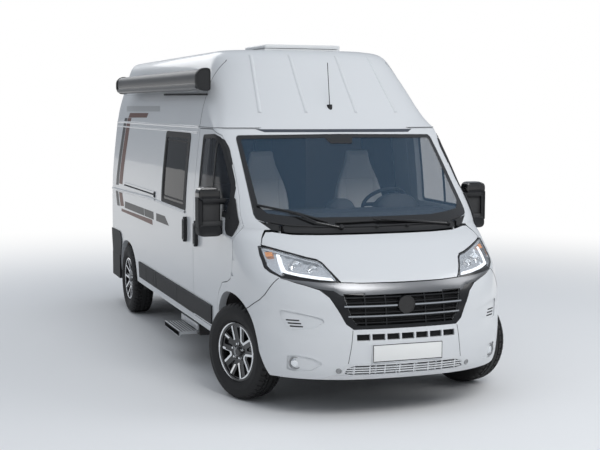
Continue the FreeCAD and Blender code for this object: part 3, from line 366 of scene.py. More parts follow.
def build_grain():
    """Fine moulded grain: a height for a bump, and a roughness that varies a little."""
    group = new_group("grain", [("Scale", "NodeSocketFloat", 600.0), ("Roughness", "NodeSocketFloat", 0.5),
                                ("Spread", "NodeSocketFloat", 0.08)],
                      [("Height", "NodeSocketFloat"), ("Roughness", "NodeSocketFloat")])
    tree, link = group.nodes, group.links.new
    given, out = tree.new("NodeGroupInput"), tree.new("NodeGroupOutput")
    where = tree.new("ShaderNodeTexCoord")
    noise = tree.new("ShaderNodeTexNoise")
    noise.inputs["Detail"].default_value = 4.0
    link(where.outputs["Object"], noise.inputs["Vector"])
    link(given.outputs["Scale"], noise.inputs["Scale"])
    centred = tree.new("ShaderNodeMath")
    centred.operation = "SUBTRACT"
    centred.inputs[1].default_value = 0.5
    link(noise.outputs["Fac"], centred.inputs[0])
    spread = tree.new("ShaderNodeMath")
    spread.operation = "MULTIPLY_ADD"
    link(centred.outputs[0], spread.inputs[0])
    link(given.outputs["Spread"], spread.inputs[1])
    link(given.outputs["Roughness"], spread.inputs[2])
    link(noise.outputs["Fac"], out.inputs["Height"])
    link(spread.outputs[0], out.inputs["Roughness"])
    return group


def build_tint():
    """Slow colour variation, such as light dust or fading, mixed into a base colour."""
    group = new_group("tint",
                      [("Base", "NodeSocketColor", (0.5, 0.5, 0.5, 1)),
                       ("Dust", "NodeSocketColor", (0.4, 0.38, 0.35, 1)),
                               ("Scale", "NodeSocketFloat", 3.0), ("Amount", "NodeSocketFloat", 0.1)],
                      [("Color", "NodeSocketColor")])
    tree, link = group.nodes, group.links.new
    given, out = tree.new("NodeGroupInput"), tree.new("NodeGroupOutput")
    where = tree.new("ShaderNodeTexCoord")
    noise = tree.new("ShaderNodeTexNoise")
    noise.inputs["Detail"].default_value = 6.0
    link(where.outputs["Object"], noise.inputs["Vector"])
    link(given.outputs["Scale"], noise.inputs["Scale"])
    amount = tree.new("ShaderNodeMath")
    amount.operation = "MULTIPLY"
    link(noise.outputs["Fac"], amount.inputs[0])
    link(given.outputs["Amount"], amount.inputs[1])
    mix = tree.new("ShaderNodeMix")
    mix.data_type = "RGBA"
    link(amount.outputs[0], mix.inputs["Factor"])
    link(given.outputs["Base"], mix.inputs[6])
    link(given.outputs["Dust"], mix.inputs[7])
    link(mix.outputs[2], out.inputs["Color"])
    return group


grain_group = build_grain()
tint_group = build_tint()


def patterned(name, color, dust, scale, amount, rough, spread, grain):
    """A Principled material with the two shared effects; it also gives its nodes, shader and grain."""
    material = bpy.data.materials.new(name)
    material.use_nodes = True
    tree, link = material.node_tree.nodes, material.node_tree.links.new
    shader = tree["Principled BSDF"]
    tint = tree.new("ShaderNodeGroup")
    tint.node_tree = tint_group
    tint.inputs["Base"].default_value = (*color, 1)
    tint.inputs["Dust"].default_value = (*dust, 1)
    tint.inputs["Scale"].default_value = scale
    tint.inputs["Amount"].default_value = amount
    link(tint.outputs["Color"], shader.inputs["Base Color"])
    fine = tree.new("ShaderNodeGroup")
    fine.node_tree = grain_group
    fine.inputs["Scale"].default_value = grain
    fine.inputs["Roughness"].default_value = rough
    fine.inputs["Spread"].default_value = spread
    link(fine.outputs["Roughness"], shader.inputs["Roughness"])
    return material, shader, fine


def finish_material(name, color, dust, amount, rough, spread, grain, bump, metallic=0.0, coat=0.0, scale=3.0,
                    glow=None, shine=0.5):
    """A material with varied colour and roughness and a fine bump."""
    material, shader, fine = patterned(name, color, dust, scale, amount, rough, spread, grain)
    shader.inputs["Metallic"].default_value = metallic
    shader.inputs["Coat Weight"].default_value = coat
    shader.inputs["Coat Roughness"].default_value = 0.04
    shader.inputs["Specular IOR Level"].default_value = shine
    if bump:
        link = material.node_tree.links.new
        relief = material.node_tree.nodes.new("ShaderNodeBump")
        relief.inputs["Strength"].default_value = bump
        relief.inputs["Distance"].default_value = 0.001
        link(fine.outputs["Height"], relief.inputs["Height"])
        link(relief.outputs["Normal"], shader.inputs["Normal"])
    if glow:
        shader.inputs["Emission Color"].default_value = (*glow[0], 1)
        shader.inputs["Emission Strength"].default_value = glow[1]
    return material


# %% Finishes of this van
pale_paint = finish_material("pale_paint", (0.655, 0.668, 0.680), (0.60, 0.61, 0.62), 0.10, 0.30, 0.05, 900, 0.02,
                             coat=0.35)
black_plastic = finish_material("black_plastic", (0.014, 0.0145, 0.016), (0.040, 0.040, 0.040), 0.35, 0.60, 0.12,
                                900, 0.25, shine=0.3)
gloss_black = finish_material("gloss_black", (0.008, 0.008, 0.009), (0.02, 0.02, 0.02), 0.3, 0.16, 0.04, 700, 0.02,
                              coat=0.2, shine=0.4)
grey_plastic = finish_material("grey_plastic", (0.040, 0.040, 0.041), (0.065, 0.064, 0.063), 0.3, 0.55, 0.10, 900,
                               0.2, shine=0.3)
satin_silver = finish_material("satin_silver", (0.30, 0.305, 0.31), (0.36, 0.36, 0.355), 0.3, 0.34, 0.08, 1200,
                               0.05, metallic=0.8)
pale_silver = finish_material("pale_silver", (0.66, 0.67, 0.68), (0.58, 0.58, 0.58), 0.3, 0.38, 0.08, 1200, 0.05,
                              metallic=0.25)
dark_satin = finish_material("dark_satin", (0.20, 0.203, 0.210), (0.24, 0.24, 0.24), 0.3, 0.30, 0.06, 1200, 0.04,
                             metallic=0.85)
bright_metal = finish_material("bright_metal", (0.85, 0.86, 0.87), (0.7, 0.7, 0.7), 0.2, 0.12, 0.05, 1200, 0.02,
                               metallic=1.0)
lamp_silver = finish_material("lamp_silver", (0.80, 0.82, 0.84), (0.6, 0.62, 0.64), 0.2, 0.15, 0.05, 500, 0.02,
                              metallic=0.9)
rim_black = finish_material("rim_black", (0.009, 0.009, 0.01), (0.035, 0.034, 0.032), 0.3, 0.2, 0.08, 900, 0.03,
                            coat=0.6)
tyre_rubber = finish_material("tyre_rubber", (0.010, 0.010, 0.011), (0.038, 0.036, 0.034), 0.45, 0.75, 0.15, 700,
                              0.35, scale=9)
chassis_black = finish_material("chassis_black", (0.03, 0.03, 0.032), (0.10, 0.09, 0.08), 0.5, 0.6, 0.2, 300, 0.3)
stripe_grey = finish_material("stripe_grey", (0.025, 0.028, 0.031), (0.040, 0.042, 0.045), 0.3, 0.4, 0.05, 900,
                              0.02, shine=0.3)
stripe_brown = finish_material("stripe_brown", (0.112, 0.036, 0.023), (0.13, 0.05, 0.033), 0.3, 0.4, 0.05, 900,
                               0.02, shine=0.3)
seam_dark = finish_material("seam_dark", (0.02, 0.02, 0.021), (0.04, 0.04, 0.04), 0.3, 0.8, 0.1, 600, 0.1)
bright_white = finish_material("bright_white", (0.86, 0.87, 0.88), (0.8, 0.8, 0.8), 0.1, 0.3, 0.05, 500, 0.02,
                               glow=((0.9, 0.95, 1.0), 0.9))
amber = finish_material("amber", (0.80, 0.28, 0.03), (0.6, 0.2, 0.02), 0.2, 0.25, 0.05, 300, 0.05,
                        glow=((0.9, 0.3, 0.05), 0.15))
tail_red = finish_material("tail_red", (0.45, 0.012, 0.012), (0.3, 0.01, 0.01), 0.3, 0.15, 0.05, 300, 0.05,
                           coat=0.8)
cabin_wood = finish_material("cabin_wood", (0.50, 0.40, 0.30), (0.38, 0.29, 0.2), 0.5, 0.45, 0.1, 60, 0.1, scale=7)
seat_cloth = finish_material("seat_cloth", (0.78, 0.77, 0.74), (0.66, 0.64, 0.61), 0.4, 0.85, 0.1, 1400, 0.5,
                             scale=14)
bed_cloth = finish_material("bed_cloth", (0.55, 0.54, 0.52), (0.45, 0.44, 0.42), 0.4, 0.9, 0.1, 1200, 0.5, scale=10)
hatch_white = finish_material("hatch_white", (0.72, 0.73, 0.73), (0.6, 0.6, 0.6), 0.2, 0.35, 0.05, 900, 0.05)
dash_plastic = finish_material("dash_plastic", (0.045, 0.046, 0.048), (0.08, 0.08, 0.08), 0.3, 0.6, 0.1, 900, 0.3)
slate = finish_material("slate", (0.045, 0.053, 0.070), (0.07, 0.075, 0.085), 0.3, 0.4, 0.08, 900, 0.08, shine=0.4)
film_pale = finish_material("film_pale", (0.44, 0.45, 0.455), (0.40, 0.40, 0.40), 0.3, 0.35, 0.05, 900, 0.02,
                            shine=0.4)
panel_grey = finish_material("panel_grey", (0.42, 0.43, 0.44), (0.36, 0.36, 0.36), 0.3, 0.5, 0.05, 900, 0.02)
awning_grey = finish_material("awning_grey", (0.042, 0.043, 0.047), (0.06, 0.06, 0.06), 0.3, 0.42, 0.08, 900, 0.06,
                              shine=0.6)
awning_light = finish_material("awning_light", (0.075, 0.077, 0.082), (0.10, 0.10, 0.10), 0.3, 0.40, 0.08, 900,
                               0.06, shine=0.6)
cladding_grey = finish_material("cladding_grey", (0.018, 0.0185, 0.021), (0.040, 0.040, 0.039), 0.35, 0.60, 0.12,
                                900, 0.25, shine=0.25)
blank_plate = finish_material("blank_plate", (0.80, 0.80, 0.78), (0.7, 0.7, 0.68), 0.15, 0.35, 0.05, 700, 0.03)
print("finishes made")


# %% [markdown]
# Window glass is tinted and slightly see-through. A mix of a clear and a glossy part would need more bounces,
# so one Principled shader with partial alpha does it: the cabin shows dimly behind it, as in the photograph.

# %% Glass
def glass_material(name, color, alpha, rough=0.03, ior=1.25):
    material, shader, _ = patterned(name, color, (0.3, 0.3, 0.3), 2.0, 0.06, rough, 0.02, 5)
    shader.inputs["IOR"].default_value = ior
    shader.inputs["Alpha"].default_value = alpha
    return material


screen_glass = glass_material("screen_glass", (0.085, 0.150, 0.230), 0.20)
cab_glass = glass_material("cab_glass", (0.030, 0.036, 0.046), 0.42, ior=1.15)
dark_glass = glass_material("dark_glass", (0.008, 0.009, 0.011), 0.93, ior=1.15)
lamp_glass = glass_material("lamp_glass", (0.55, 0.57, 0.6), 0.14, 0.02)

# %% Give each panel its finish
finish_of = {
    pale_paint: ["body_right", "body_left", "roof_cap", "roof_panel", "wing_right", "wing_left", "bonnet",
                 "front_bumper", "door_right", "door_left", "sliding_door", "rear_door_right", "rear_door_left"],
    chassis_black: ["floor_pan", "wheelhouses", "chassis_frame", "front_suspension", "rear_axle",
                    "tank_and_silencer", "engine_block", "radiator", "knuckle_right", "knuckle_left", "step_case"],
    black_plastic: ["scuttle", "mirror_right", "mirror_left", "aerial", "steering_wheel", "awning"],
    cladding_grey: ["side_cladding", "rear_bumper"],
    pale_silver: ["step"],
    dash_plastic: ["dashboard"],
    gloss_black: ["grille"],
    screen_glass: ["windscreen"],
    cab_glass: ["door_glass_right", "door_glass_left"],
    dark_glass: ["side_windows", "rear_glass_right", "rear_glass_left"],
    lamp_glass: ["headlamps"],
    tail_red: ["tail_lamps"],
    hatch_white: ["hatch_lid_front", "hatch_lid_rear", "hatch_frames"],
    tyre_rubber: ["front_tyre_right", "front_tyre_left", "rear_tyre_right", "rear_tyre_left"],
    rim_black: ["front_rim_right", "front_rim_left", "rear_rim_right", "rear_rim_left"],
    seat_cloth: ["front_seats", "rear_bed"],
    cabin_wood: ["cabinets"],
}
for finish, names in finish_of.items():
    for name in names:
        node = nodes[name]
        node.data.materials.clear()
        node.data.materials.append(finish)
print("panels finished", sum(len(v) for v in finish_of.values()))

# %% [markdown]
# ## Tyres
# One tyre is turned from its section, with four grooves in the tread and ribs on the wall. Cross grooves in both
# shoulders are pushed in afterwards. The other three tyres are copies.

# %% Tyres
straight = Matrix.Identity(4)
corners = {}
for end, half_track, axle, turn_of in (("front", 0.905, front_axle, Matrix.Rotation(steered, 4, "Z")),
                                       ("rear", 0.895, rear_axle, straight)):
    for label, side in (("right", -1), ("left", 1)):
        corners[f"{end}_{label}"] = (place(side * half_track, axle, wheel_radius), turn_of, f"{end}_wheel_{label}",
                                     side)


def tread_section():
    half = [(0.0000, 0.3600), (0.0180, 0.3598), (0.0190, 0.3520), (0.0280, 0.3520), (0.0290, 0.3597),
            (0.0540, 0.3588), (0.0550, 0.3515), (0.0630, 0.3510), (0.0640, 0.3575), (0.0780, 0.3545),
            (0.0880, 0.3490), (0.0950, 0.3410), (0.0990, 0.3300), (0.1015, 0.3270), (0.1030, 0.3180),
            (0.1060, 0.3120), (0.1060, 0.2980), (0.1074, 0.2960), (0.1074, 0.2780), (0.1062, 0.2760),
            (0.1045, 0.2560), (0.1030, 0.2540), (0.1000, 0.2400), (0.0975, 0.2385), (0.0900, 0.2290),
            (0.0805, 0.2195)]
    return [(-x, r) for x, r in reversed(half[1:])] + half


def cut_shoulders(piece, steps, every, depth):
    pick_only(piece)
    bpy.ops.object.mode_set(mode="EDIT")
    bpy.ops.mesh.select_mode(type="FACE")
    bpy.ops.mesh.select_all(action="DESELECT")
    mesh = bmesh.from_edit_mesh(piece.data)
    for face in mesh.faces:
        c = face.calc_center_median()
        step = int((math.atan2(c.z, c.y) / (2 * math.pi) + 1) * steps) % every
        if 0.064 < abs(c.x) < 0.094 and c.length > 0.33:
            face.select_set(step == 0)
        if 0.030 < abs(c.x) < 0.053 and c.length > 0.357:
            face.select_set(step == every // 2)
    bmesh.update_edit_mesh(piece.data)
    bpy.ops.mesh.extrude_region_shrink_fatten(TRANSFORM_OT_shrink_fatten={"value": -depth})
    bpy.ops.object.mode_set(mode="OBJECT")


first_tyre = None
for corner, (centre, turn_of, body, side) in corners.items():
    if first_tyre is None:
        piece = turned("tyre_" + corner, tread_section(), 180, body, tyre_rubber, Vector((0, 0, 0)),
                       straight)
        cut_shoulders(piece, 180, 4, 0.006)
        first_tyre = piece.data.copy()
    else:
        piece = bpy.data.objects.new("tyre_" + corner, first_tyre.copy())
        bpy.context.collection.objects.link(piece)
    piece.data.transform(Matrix.Translation(centre) @ turn_of)
    piece.name = piece.data.name = "tyre_" + corner
    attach(piece, body)
    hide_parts(body.replace("wheel", "tyre"))
print("tyre triangles", sum(len(p.vertices) - 2 for p in first_tyre.polygons))

# %% [markdown]
# ## Bright parts of the wheels
# Five V shapes are machined bright on the black rim, and a bright ring runs round its lip. Bolts and a cap sit
# in the middle. They are built for a wheel at the origin that faces along X, then copied to the four corners.

# %% Wheel faces
spoke_phase = math.radians(34)


def face_depth(radius):
    """How far out the rim's face stands at this radius."""
    return 0.066 + 0.014 * max(0.0, min(1.0, (radius - 0.075) / 0.125))


def wheel_point(radius, angle, side, lift=0.0):
    return Vector((side * (face_depth(radius) + lift), radius * math.sin(angle), radius * math.cos(angle)))


def v_rows(number, side):
    """Left arm, blunt apex and right arm of one V, as rows across its width."""
    middle = spoke_phase + number * math.radians(72)
    outer_line, inner_line = [], []
    steps = 8
    for i in range(steps + 1):
        radius = 0.2035 - i / steps * 0.1035
        window = math.asin((0.013 + 0.043 * (radius - 0.100) / 0.0945) / radius)
        outer_line.append((radius, -window - 0.0165 / radius))
        inner_line.append((radius, -window + 0.001 / radius))
    apex = [(0.084, math.radians(-15)), (0.0805, 0.0), (0.084, math.radians(15))]
    inner_apex = [(0.0985, math.radians(-5)), (0.098, 0.0), (0.0985, math.radians(5))]
    outer_line += apex + [(r, -a) for r, a in reversed(outer_line)]
    inner_line += inner_apex + [(r, -a) for r, a in reversed(inner_line)]
    rows = []
    for line, raised in ((outer_line, False), (outer_line, True), (inner_line, True), (inner_line, False)):
        rows.append([wheel_point(r, middle + a, side, 0.004 + 0.006 * (r - 0.08) / 0.12 if raised else 0.0002)
                     for r, a in line])
    return rows


for corner, (centre, turn_of, body, side) in corners.items():
    move = Matrix.Translation(centre) @ turn_of
    for number in range(5):
        rows = v_rows(number, side)
        strip(f"spoke_face_{corner}_{number + 1}", [[move @ p for p in row] for row in rows], body,
                      bright_metal, closed_form=False, smooth=20)
    ring = [(side * x, r) for x, r in ((0.0903, 0.2030), (0.0922, 0.2045), (0.0930, 0.2080), (0.0930, 0.2140),
                                       (0.0920, 0.2165), (0.0903, 0.2175))]
    turned("rim_ring_" + corner, ring, 96, body, bright_metal, centre, turn_of)
    cap = [(side * x, r) for x, r in ((0.0882, 0.0), (0.0890, 0.012), (0.0885, 0.0225), (0.0895, 0.0240),
                                      (0.0890, 0.0270), (0.0850, 0.0315), (0.0780, 0.0330), (0.0700, 0.0345))]
    turned("hub_cap_" + corner, cap, 48, body, satin_silver, centre, turn_of)
    for number in range(5):
        angle = spoke_phase + math.radians(36 + 72 * number)
        spot = Vector((0, 0.056 * math.sin(angle), 0.056 * math.cos(angle)))
        bolt = [(side * x, r) for x, r in ((0.0665, 0.0135), (0.0700, 0.0135), (0.0720, 0.0105), (0.0820, 0.0098),
                                           (0.0835, 0.0085), (0.0835, 0.0045), (0.0815, 0.0035), (0.0815, 0.0))]
        turned(f"wheel_bolt_{corner}_{number + 1}", bolt, 6, body, bright_metal,
               centre + turn_of.to_3x3() @ spot, turn_of, smooth=None)
print("wheels dressed")

# %% [markdown]
# ## Headlamps
# The solid lamps make way for a clear cover, a silvery bowl behind it, an L-shaped light band, an orange
# indicator and two round reflectors. All shapes are drawn in front view and dropped on the nose of the van.

# %% The curve of the nose
nose_levels = [(0.24, 0.980, 0.075, 0.850), (0.32, 0.995, 0.026, 0.860), (0.42, 1.003, 0.005, 0.870),
               (0.51, 1.008, 0.000, 0.870), (0.60, 1.012, 0.005, 0.870), (0.70, 1.017, 0.026, 0.870),
               (0.80, 1.020, 0.040, 0.860), (0.90, 1.020, 0.075, 0.840), (0.96, 1.020, 0.108, 0.820)]


def nose_level(z):
    """Half width, front and depth of the nose's curve at a height."""
    level = max(i for i in range(len(nose_levels) - 1) if nose_levels[i][0] <= max(z, 0.24))
    a, b = nose_levels[level], nose_levels[level + 1]
    share = (z - a[0]) / (b[0] - a[0])
    return (a[k] + share * (b[k] - a[k]) for k in (1, 2, 3))


def nose_point(x, z):
    half, front, deep = nose_level(z)
    sine = min(0.999, (abs(x) / half) ** (2.5 / 2))
    return Vector((x, at(front + deep * (1 - math.cos(math.asin(sine)) ** 0.8)), z))


def nose_side(side, distance, z):
    """The nose's skin at a distance and height, for places where the panels leave a gap."""
    half, front, deep = nose_level(z)
    left = max(0.0, min(1.0, 1 - (distance - front) / deep))
    return Vector((side * half * (1 - left ** 2.5) ** 0.4, at(distance), z))


# %% Points on the nose
same_panel = 0.012


def near_front(x, z):
    """Like from_front, but a ray that falls into a gap takes the depth of the panels beside it."""
    depths = []
    for dx, dz in ((0, 0), (0.006, 0), (-0.006, 0), (0, 0.006), (0, -0.006)):
        hit, normal = from_front(x + dx, z + dz)
        if hit is not None:
            depths.append((hit.y, hit, normal))
    if not depths:
        return nose_point(x, z), Vector((0, -1, 0))
    depths.sort(key=lambda item: item[0])
    middle = depths[len(depths) // 2]
    first = from_front(x, z)
    if first[0] is not None and abs(first[0].y - middle[0]) < same_panel:
        return first
    return Vector((x, middle[0], z)), middle[2]


def both(line):
    """A front-view line from the right end to the middle, carried on to the left end."""
    return line + [(-x, z) for x, z in reversed(line) if x < -1e-6]


def sided(side, line):
    return [(side * x, z) for x, z in line]


def metres(*points):
    return [(a / 1000, b / 1000) for a, b in points]


# %% Headlamp parts
lamp_low = metres((462, 963), (584, 970), (700, 986), (793, 1005), (823, 988), (874, 1015), (896, 1039),
                  (899, 1114), (893, 1170))
lamp_high = metres((462, 966), (500, 1028), (531, 1078), (556, 1098), (615, 1110), (725, 1140), (843, 1172),
                   (888, 1173))
light_out = metres((805, 1131), (811, 1083), (806, 1030), (798, 1007), (718, 999), (604, 982), (491, 971))
light_in = metres((784, 1129), (786, 1073), (780, 1036), (770, 1026), (702, 1014), (599, 999), (506, 990))
top_out = metres((878, 1169), (843, 1166), (725, 1135), (615, 1105), (556, 1092), (540, 1078))
top_in = metres((862, 1152), (843, 1149), (725, 1121), (615, 1092), (562, 1080), (548, 1066))
for label, side in (("right", -1), ("left", 1)):
    rows = between(near_front, sided(side, lamp_low), sided(side, lamp_high), 44, 12, -0.0012)
    cover = strip("lamp_cover_" + label, rows, "body", lamp_glass, thick=0.0015)
    bowl_rows = between(near_front, sided(side, lamp_low), sided(side, lamp_high), 44, 12, -0.004)
    for j, row in enumerate(bowl_rows):
        for i, point in enumerate(row):
            sink = math.sin(math.pi * j / 12) ** 0.4 * math.sin(math.pi * i / 44) ** 0.4 * 0.055
            ripple = 0.004 * math.sin(i * 1.3) * math.sin(j * 1.1)
            point.y += sink + ripple
    strip("lamp_bowl_" + label, bowl_rows, "body", lamp_silver, thick=0.002, smooth=25)
    band = between(near_front, sided(side, light_out), sided(side, light_in), 40, 2, -0.006)
    strip("light_band_" + label, band, "body", bright_white, thick=0.005)
    edge = between(near_front, sided(side, top_out), sided(side, top_in), 30, 2, -0.008)
    strip("lamp_brow_" + label, edge, "body", lamp_silver, thick=0.004)
    orange = between(near_front, sided(side, metres((871, 1116), (869, 1143))),
                     sided(side, metres((829, 1121), (825, 1146))), 6, 6, -0.012)
    strip("indicator_" + label, orange, "body", amber, thick=0.006)
    for number, (x, z, radius) in enumerate(((0.712, 1.062, 0.047), (0.610, 1.040, 0.040))):
        spot, normal = near_front(side * x, z)
        aim = (normal + Vector((0, -1.2, 0))).normalized()
        bowl = [(0.000, radius + 0.003), (0.004, radius + 0.001), (0.003, radius), (-0.010, radius * 0.86),
                (-0.022, radius * 0.62), (-0.030, radius * 0.34), (-0.024, radius * 0.20), (-0.014, radius * 0.16),
                (-0.010, 0.0)]
        turned(f"reflector_{label}_{number + 1}", bowl, 40, "body", bright_metal,
               spot - aim * 0.016 - normal * 0.012, facing(aim))
    for name, low, high in (("top",
                             metres((888, 1178), (843, 1174), (725, 1143), (615, 1112), (556, 1101), (531, 1081),
                                    (500, 1031), (460, 962)),
                             metres((884, 1169), (840, 1166), (725, 1134), (617, 1104), (561, 1094), (540, 1077),
                                    (509, 1030), (478, 972))),
                            ("side", metres((823, 985), (876, 1012), (898, 1037), (901, 1114), (896, 1172)),
                             metres((812, 992), (861, 1026), (877, 1050), (879, 1112), (880, 1160))),
                            ("foot", metres((460, 960), (584, 968), (700, 984), (793, 1003), (806, 1005)),
                             metres((475, 968), (584, 976), (700, 992), (785, 1011), (800, 1016)))):
        rim_rows = between(near_front, sided(side, low), sided(side, high), 40, 2, 0.0006)
        strip(f"lamp_rim_{name}_{label}", rim_rows, "body", gloss_black, thick=0.0012)
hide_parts("headlamps")
print("headlamps made")

# %% [markdown]
# ## Grille and bumper
# A satin band runs from lamp to lamp over the grille. Two thin bright bars, a fine mesh, the row of seven vents,
# the blank number plate and the silver lower grille follow from top to bottom.

# %% Grille
band_top = metres((-821, 981), (-740, 970), (-667, 965), (-597, 959), (-455, 955), (-300, 949), (0, 946))
band_low = metres((-823, 978), (-728, 953), (-616, 919), (-555, 910), (-506, 905), (-480, 886), (-455, 871),
                  (-300, 874), (0, 876))
rows = between(near_front, both(band_low), both(band_top), 120, 6, 0.001)
for j, row in enumerate(rows):
    for point in row:
        point.y -= 0.003 * math.sin(math.pi * j / 6)
strip("grille_band", rows, "body", dark_satin, thick=0.0016)


def smooth_front(x, z):
    """Nose depth where the grille is open, taken from the curve of the nose."""
    return nose_point(x, z), Vector((0, -1, 0))


def wired(piece, thickness):
    """Turn the faces of a sheet into a mesh of wires."""
    wires = piece.modifiers.new("wires", "WIREFRAME")
    wires.thickness = thickness
    apply_modifiers(piece)


def raised_bar(line, width, columns, out):
    """Rows of a flat bar that stands out of the nose's curve."""
    low, high = ribbon_rows(smooth_front, line, width, columns, 0.0)
    forward_by = Vector((0, -out, 0))
    return [low, [p + forward_by for p in low], [p + forward_by for p in high], high]


mesh_low = metres((-362, 672), (0, 672))
mesh_high = metres((-446, 872), (0, 870))
rows = between(smooth_front, both(mesh_low), both(mesh_high), 60, 16, -0.022)
wired(strip("grille_mesh", rows, "body", black_plastic, closed_form=False), 0.003)
for label, z, starts in (("upper", 0.800, ((-0.448, -0.068), (0.068, 0.448))),
                         ("lower", 0.731, ((-0.424, 0.424),))):
    for number, (x0, x1) in enumerate(starts):
        rows = raised_bar([(x0, z), (x1, z)], 0.009, 40, 0.004)
        strip(f"bright_bar_{label}_{number + 1}", rows, "body", bright_metal, thick=0.001)
for label, side in (("right", -1), ("left", 1)):
    line = sided(side, metres((446, 880), (427, 803), (397, 712), (366, 671)))
    edge = resample(line, 24)
    wall = [[nose_point(x, z) + Vector((-side * 0.0015, depth, 0)) for x, z in edge]
            for depth in (0.001, 0.012, 0.024)]
    strip("grille_wall_" + label, wall, "body", satin_silver, thick=0.001)
ring = [(0.002, 0.0632), (0.0045, 0.0620), (0.0045, 0.0570), (0.0020, 0.0555), (0.0016, 0.0)]
turned("badge_disc", ring, 64, "body", gloss_black, place(0, 0.0338, 0.802),
       facing(Vector((0, -1, 0))))

# %% Vents, plate and lower grille
rows = between(smooth_front, both(metres((-376, 563), (0, 563))), both(metres((-376, 609), (0, 609))), 84, 6,
               -0.020)
wired(strip("vent_mesh", rows, "body", black_plastic, closed_form=False), 0.0025)
rows = between(smooth_front, both(metres((-380, 560), (0, 560))), both(metres((-380, 612), (0, 612))), 40, 3,
               -0.030)
strip("vent_back", rows, "body", seam_dark, thick=0.002)
block("plate_frame", place(-0.264, 0.0012, 0.411), place(0.264, 0.0020, 0.533), "body", black_plastic,
      bevel=0.0003)
block("blank_plate", place(-0.259, 0.0002, 0.417), place(0.259, 0.0014, 0.528), "body", blank_plate,
      bevel=0.0004)
for number, z in enumerate((0.338, 0.355, 0.372)):
    half = 0.432 + 0.01 * number
    rows = raised_bar([(-half, z), (half, z)], 0.0085, 80, 0.003)
    strip(f"lower_slat_{number + 1}", rows, "body", pale_silver, thick=0.001)
for number in range(8):
    x = -0.385 + 0.11 * number
    rows = ribbon_rows(smooth_front, [(x, 0.326), (x, 0.385)], 0.010, 6, 0.0005)
    strip(f"lower_column_{number + 1}", rows, "body", pale_silver, thick=0.003)
lip_low = metres((-590, 290), (-500, 289), (0, 289))
lip_high = metres((-540, 316), (-480, 318), (0, 318))
rows = between(near_front, both(lip_low), both(lip_high), 80, 4, 0.0015)
strip("lower_lip", rows, "body", pale_silver, thick=0.002)
frame_out = metres((-470, 330), (-452, 392), (-385, 399), (0, 399))
frame_in = metres((-452, 330), (-437, 380), (-385, 389), (0, 389))
rows = between(near_front, both(frame_in), both(frame_out), 80, 2, 0.001)
strip("lower_surround", rows, "body", pale_silver, thick=0.002)
for label, side in (("right", -1), ("left", 1)):
    spot, normal = near_front(side * 0.49, 0.352)
    eye = [(0.001, 0.0), (0.0012, 0.013), (0.0035, 0.0145), (0.0035, 0.019), (0.0005, 0.021)]
    turned("tow_eye_" + label, eye, 28, "body", satin_silver, spot,
           facing(normal))
    spot, normal = near_front(side * 0.757, 0.398)
    aim = facing((normal + Vector((0, -0.6, 0))).normalized())
    fog_rim = [(-0.020, 0.046), (0.004, 0.046), (0.006, 0.043), (0.004, 0.038), (-0.004, 0.036), (-0.006, 0.034)]
    turned("fog_rim_" + label, fog_rim, 48, "body", satin_silver, spot, aim)
    fog_glass = [(-0.004, 0.0355), (0.001, 0.030), (0.004, 0.018), (0.005, 0.0)]
    turned("fog_glass_" + label, fog_glass, 48, "body", lamp_silver, spot, aim)
    for number, line in enumerate((((808, 697), (732, 697)), ((798, 676), (722, 676)), ((788, 656), (712, 656)))):
        rows = ribbon_rows(near_front, sided(side, metres(*line)), 0.009, 14, 0.0006)
        strip(f"air_slot_{label}_{number + 1}", rows, "body", seam_dark, thick=0.001)
print("front dressed")

# %% [markdown]
# ## Windscreen, cowl and wipers
# The glass is glued in behind a black printed border, so the border is drawn as a thin layer on the glass.
# The border's two outlines have matching corners, and the rows between them fall on the skin of the van.

# %% Outlines with matching corners
def ring_rows(find, outer, inner, step, rows, lift):
    """Rows of skin points between two closed outlines."""
    return frame_rows(find, outer + outer[:1], inner + inner[:1], step, rows, lift)


def frame_rows(find, outer, inner, step, rows, lift):
    """Rows of skin points between two outlines whose corners belong together."""
    low, high = [], []
    for k in range(len(outer) - 1):
        count = max(1, round(math.dist(outer[k], outer[k + 1]) / step))
        low += resample(inner[k:k + 2], count)[:-1]
        high += resample(outer[k:k + 2], count)[:-1]
    low.append(inner[-1])
    high.append(outer[-1])
    result = []
    for j in range(rows + 1):
        share = j / rows
        row = []
        for a, b in zip(low, high):
            hit, normal = find(a[0] + share * (b[0] - a[0]), a[1] + share * (b[1] - a[1]))
            row.append(hit + normal * lift)
        result.append(row)
    return result


def near_side(side):
    """A finder for one side of the van; over a gap it takes the panel beside it."""
    def find(distance, z):
        hits = []
        for dd, dz in ((0, 0), (0.009, 0), (-0.009, 0), (0, 0.009), (0, -0.009)):
            hit, normal = from_side(side, distance + dd, z + dz)
            if hit is not None:
                hits.append((-side * hit.x, (dd, dz) != (0, 0), hit, normal))
        if not hits:
            return nose_side(side, distance, z), Vector((side, 0, 0))
        hits.sort(key=lambda item: item[0])
        middle = [item for item in hits if not item[1]]
        best = middle[0] if middle and middle[0][0] - hits[0][0] < same_panel else hits[0]
        return Vector((best[2].x, at(distance), z)), best[3]
    return find


cladding = tree_of(["side_cladding"])


def cladding_find(side):
    """A finder for the outside of the dark lower panels."""
    return lambda distance, z: from_side(side, distance, z, cladding)


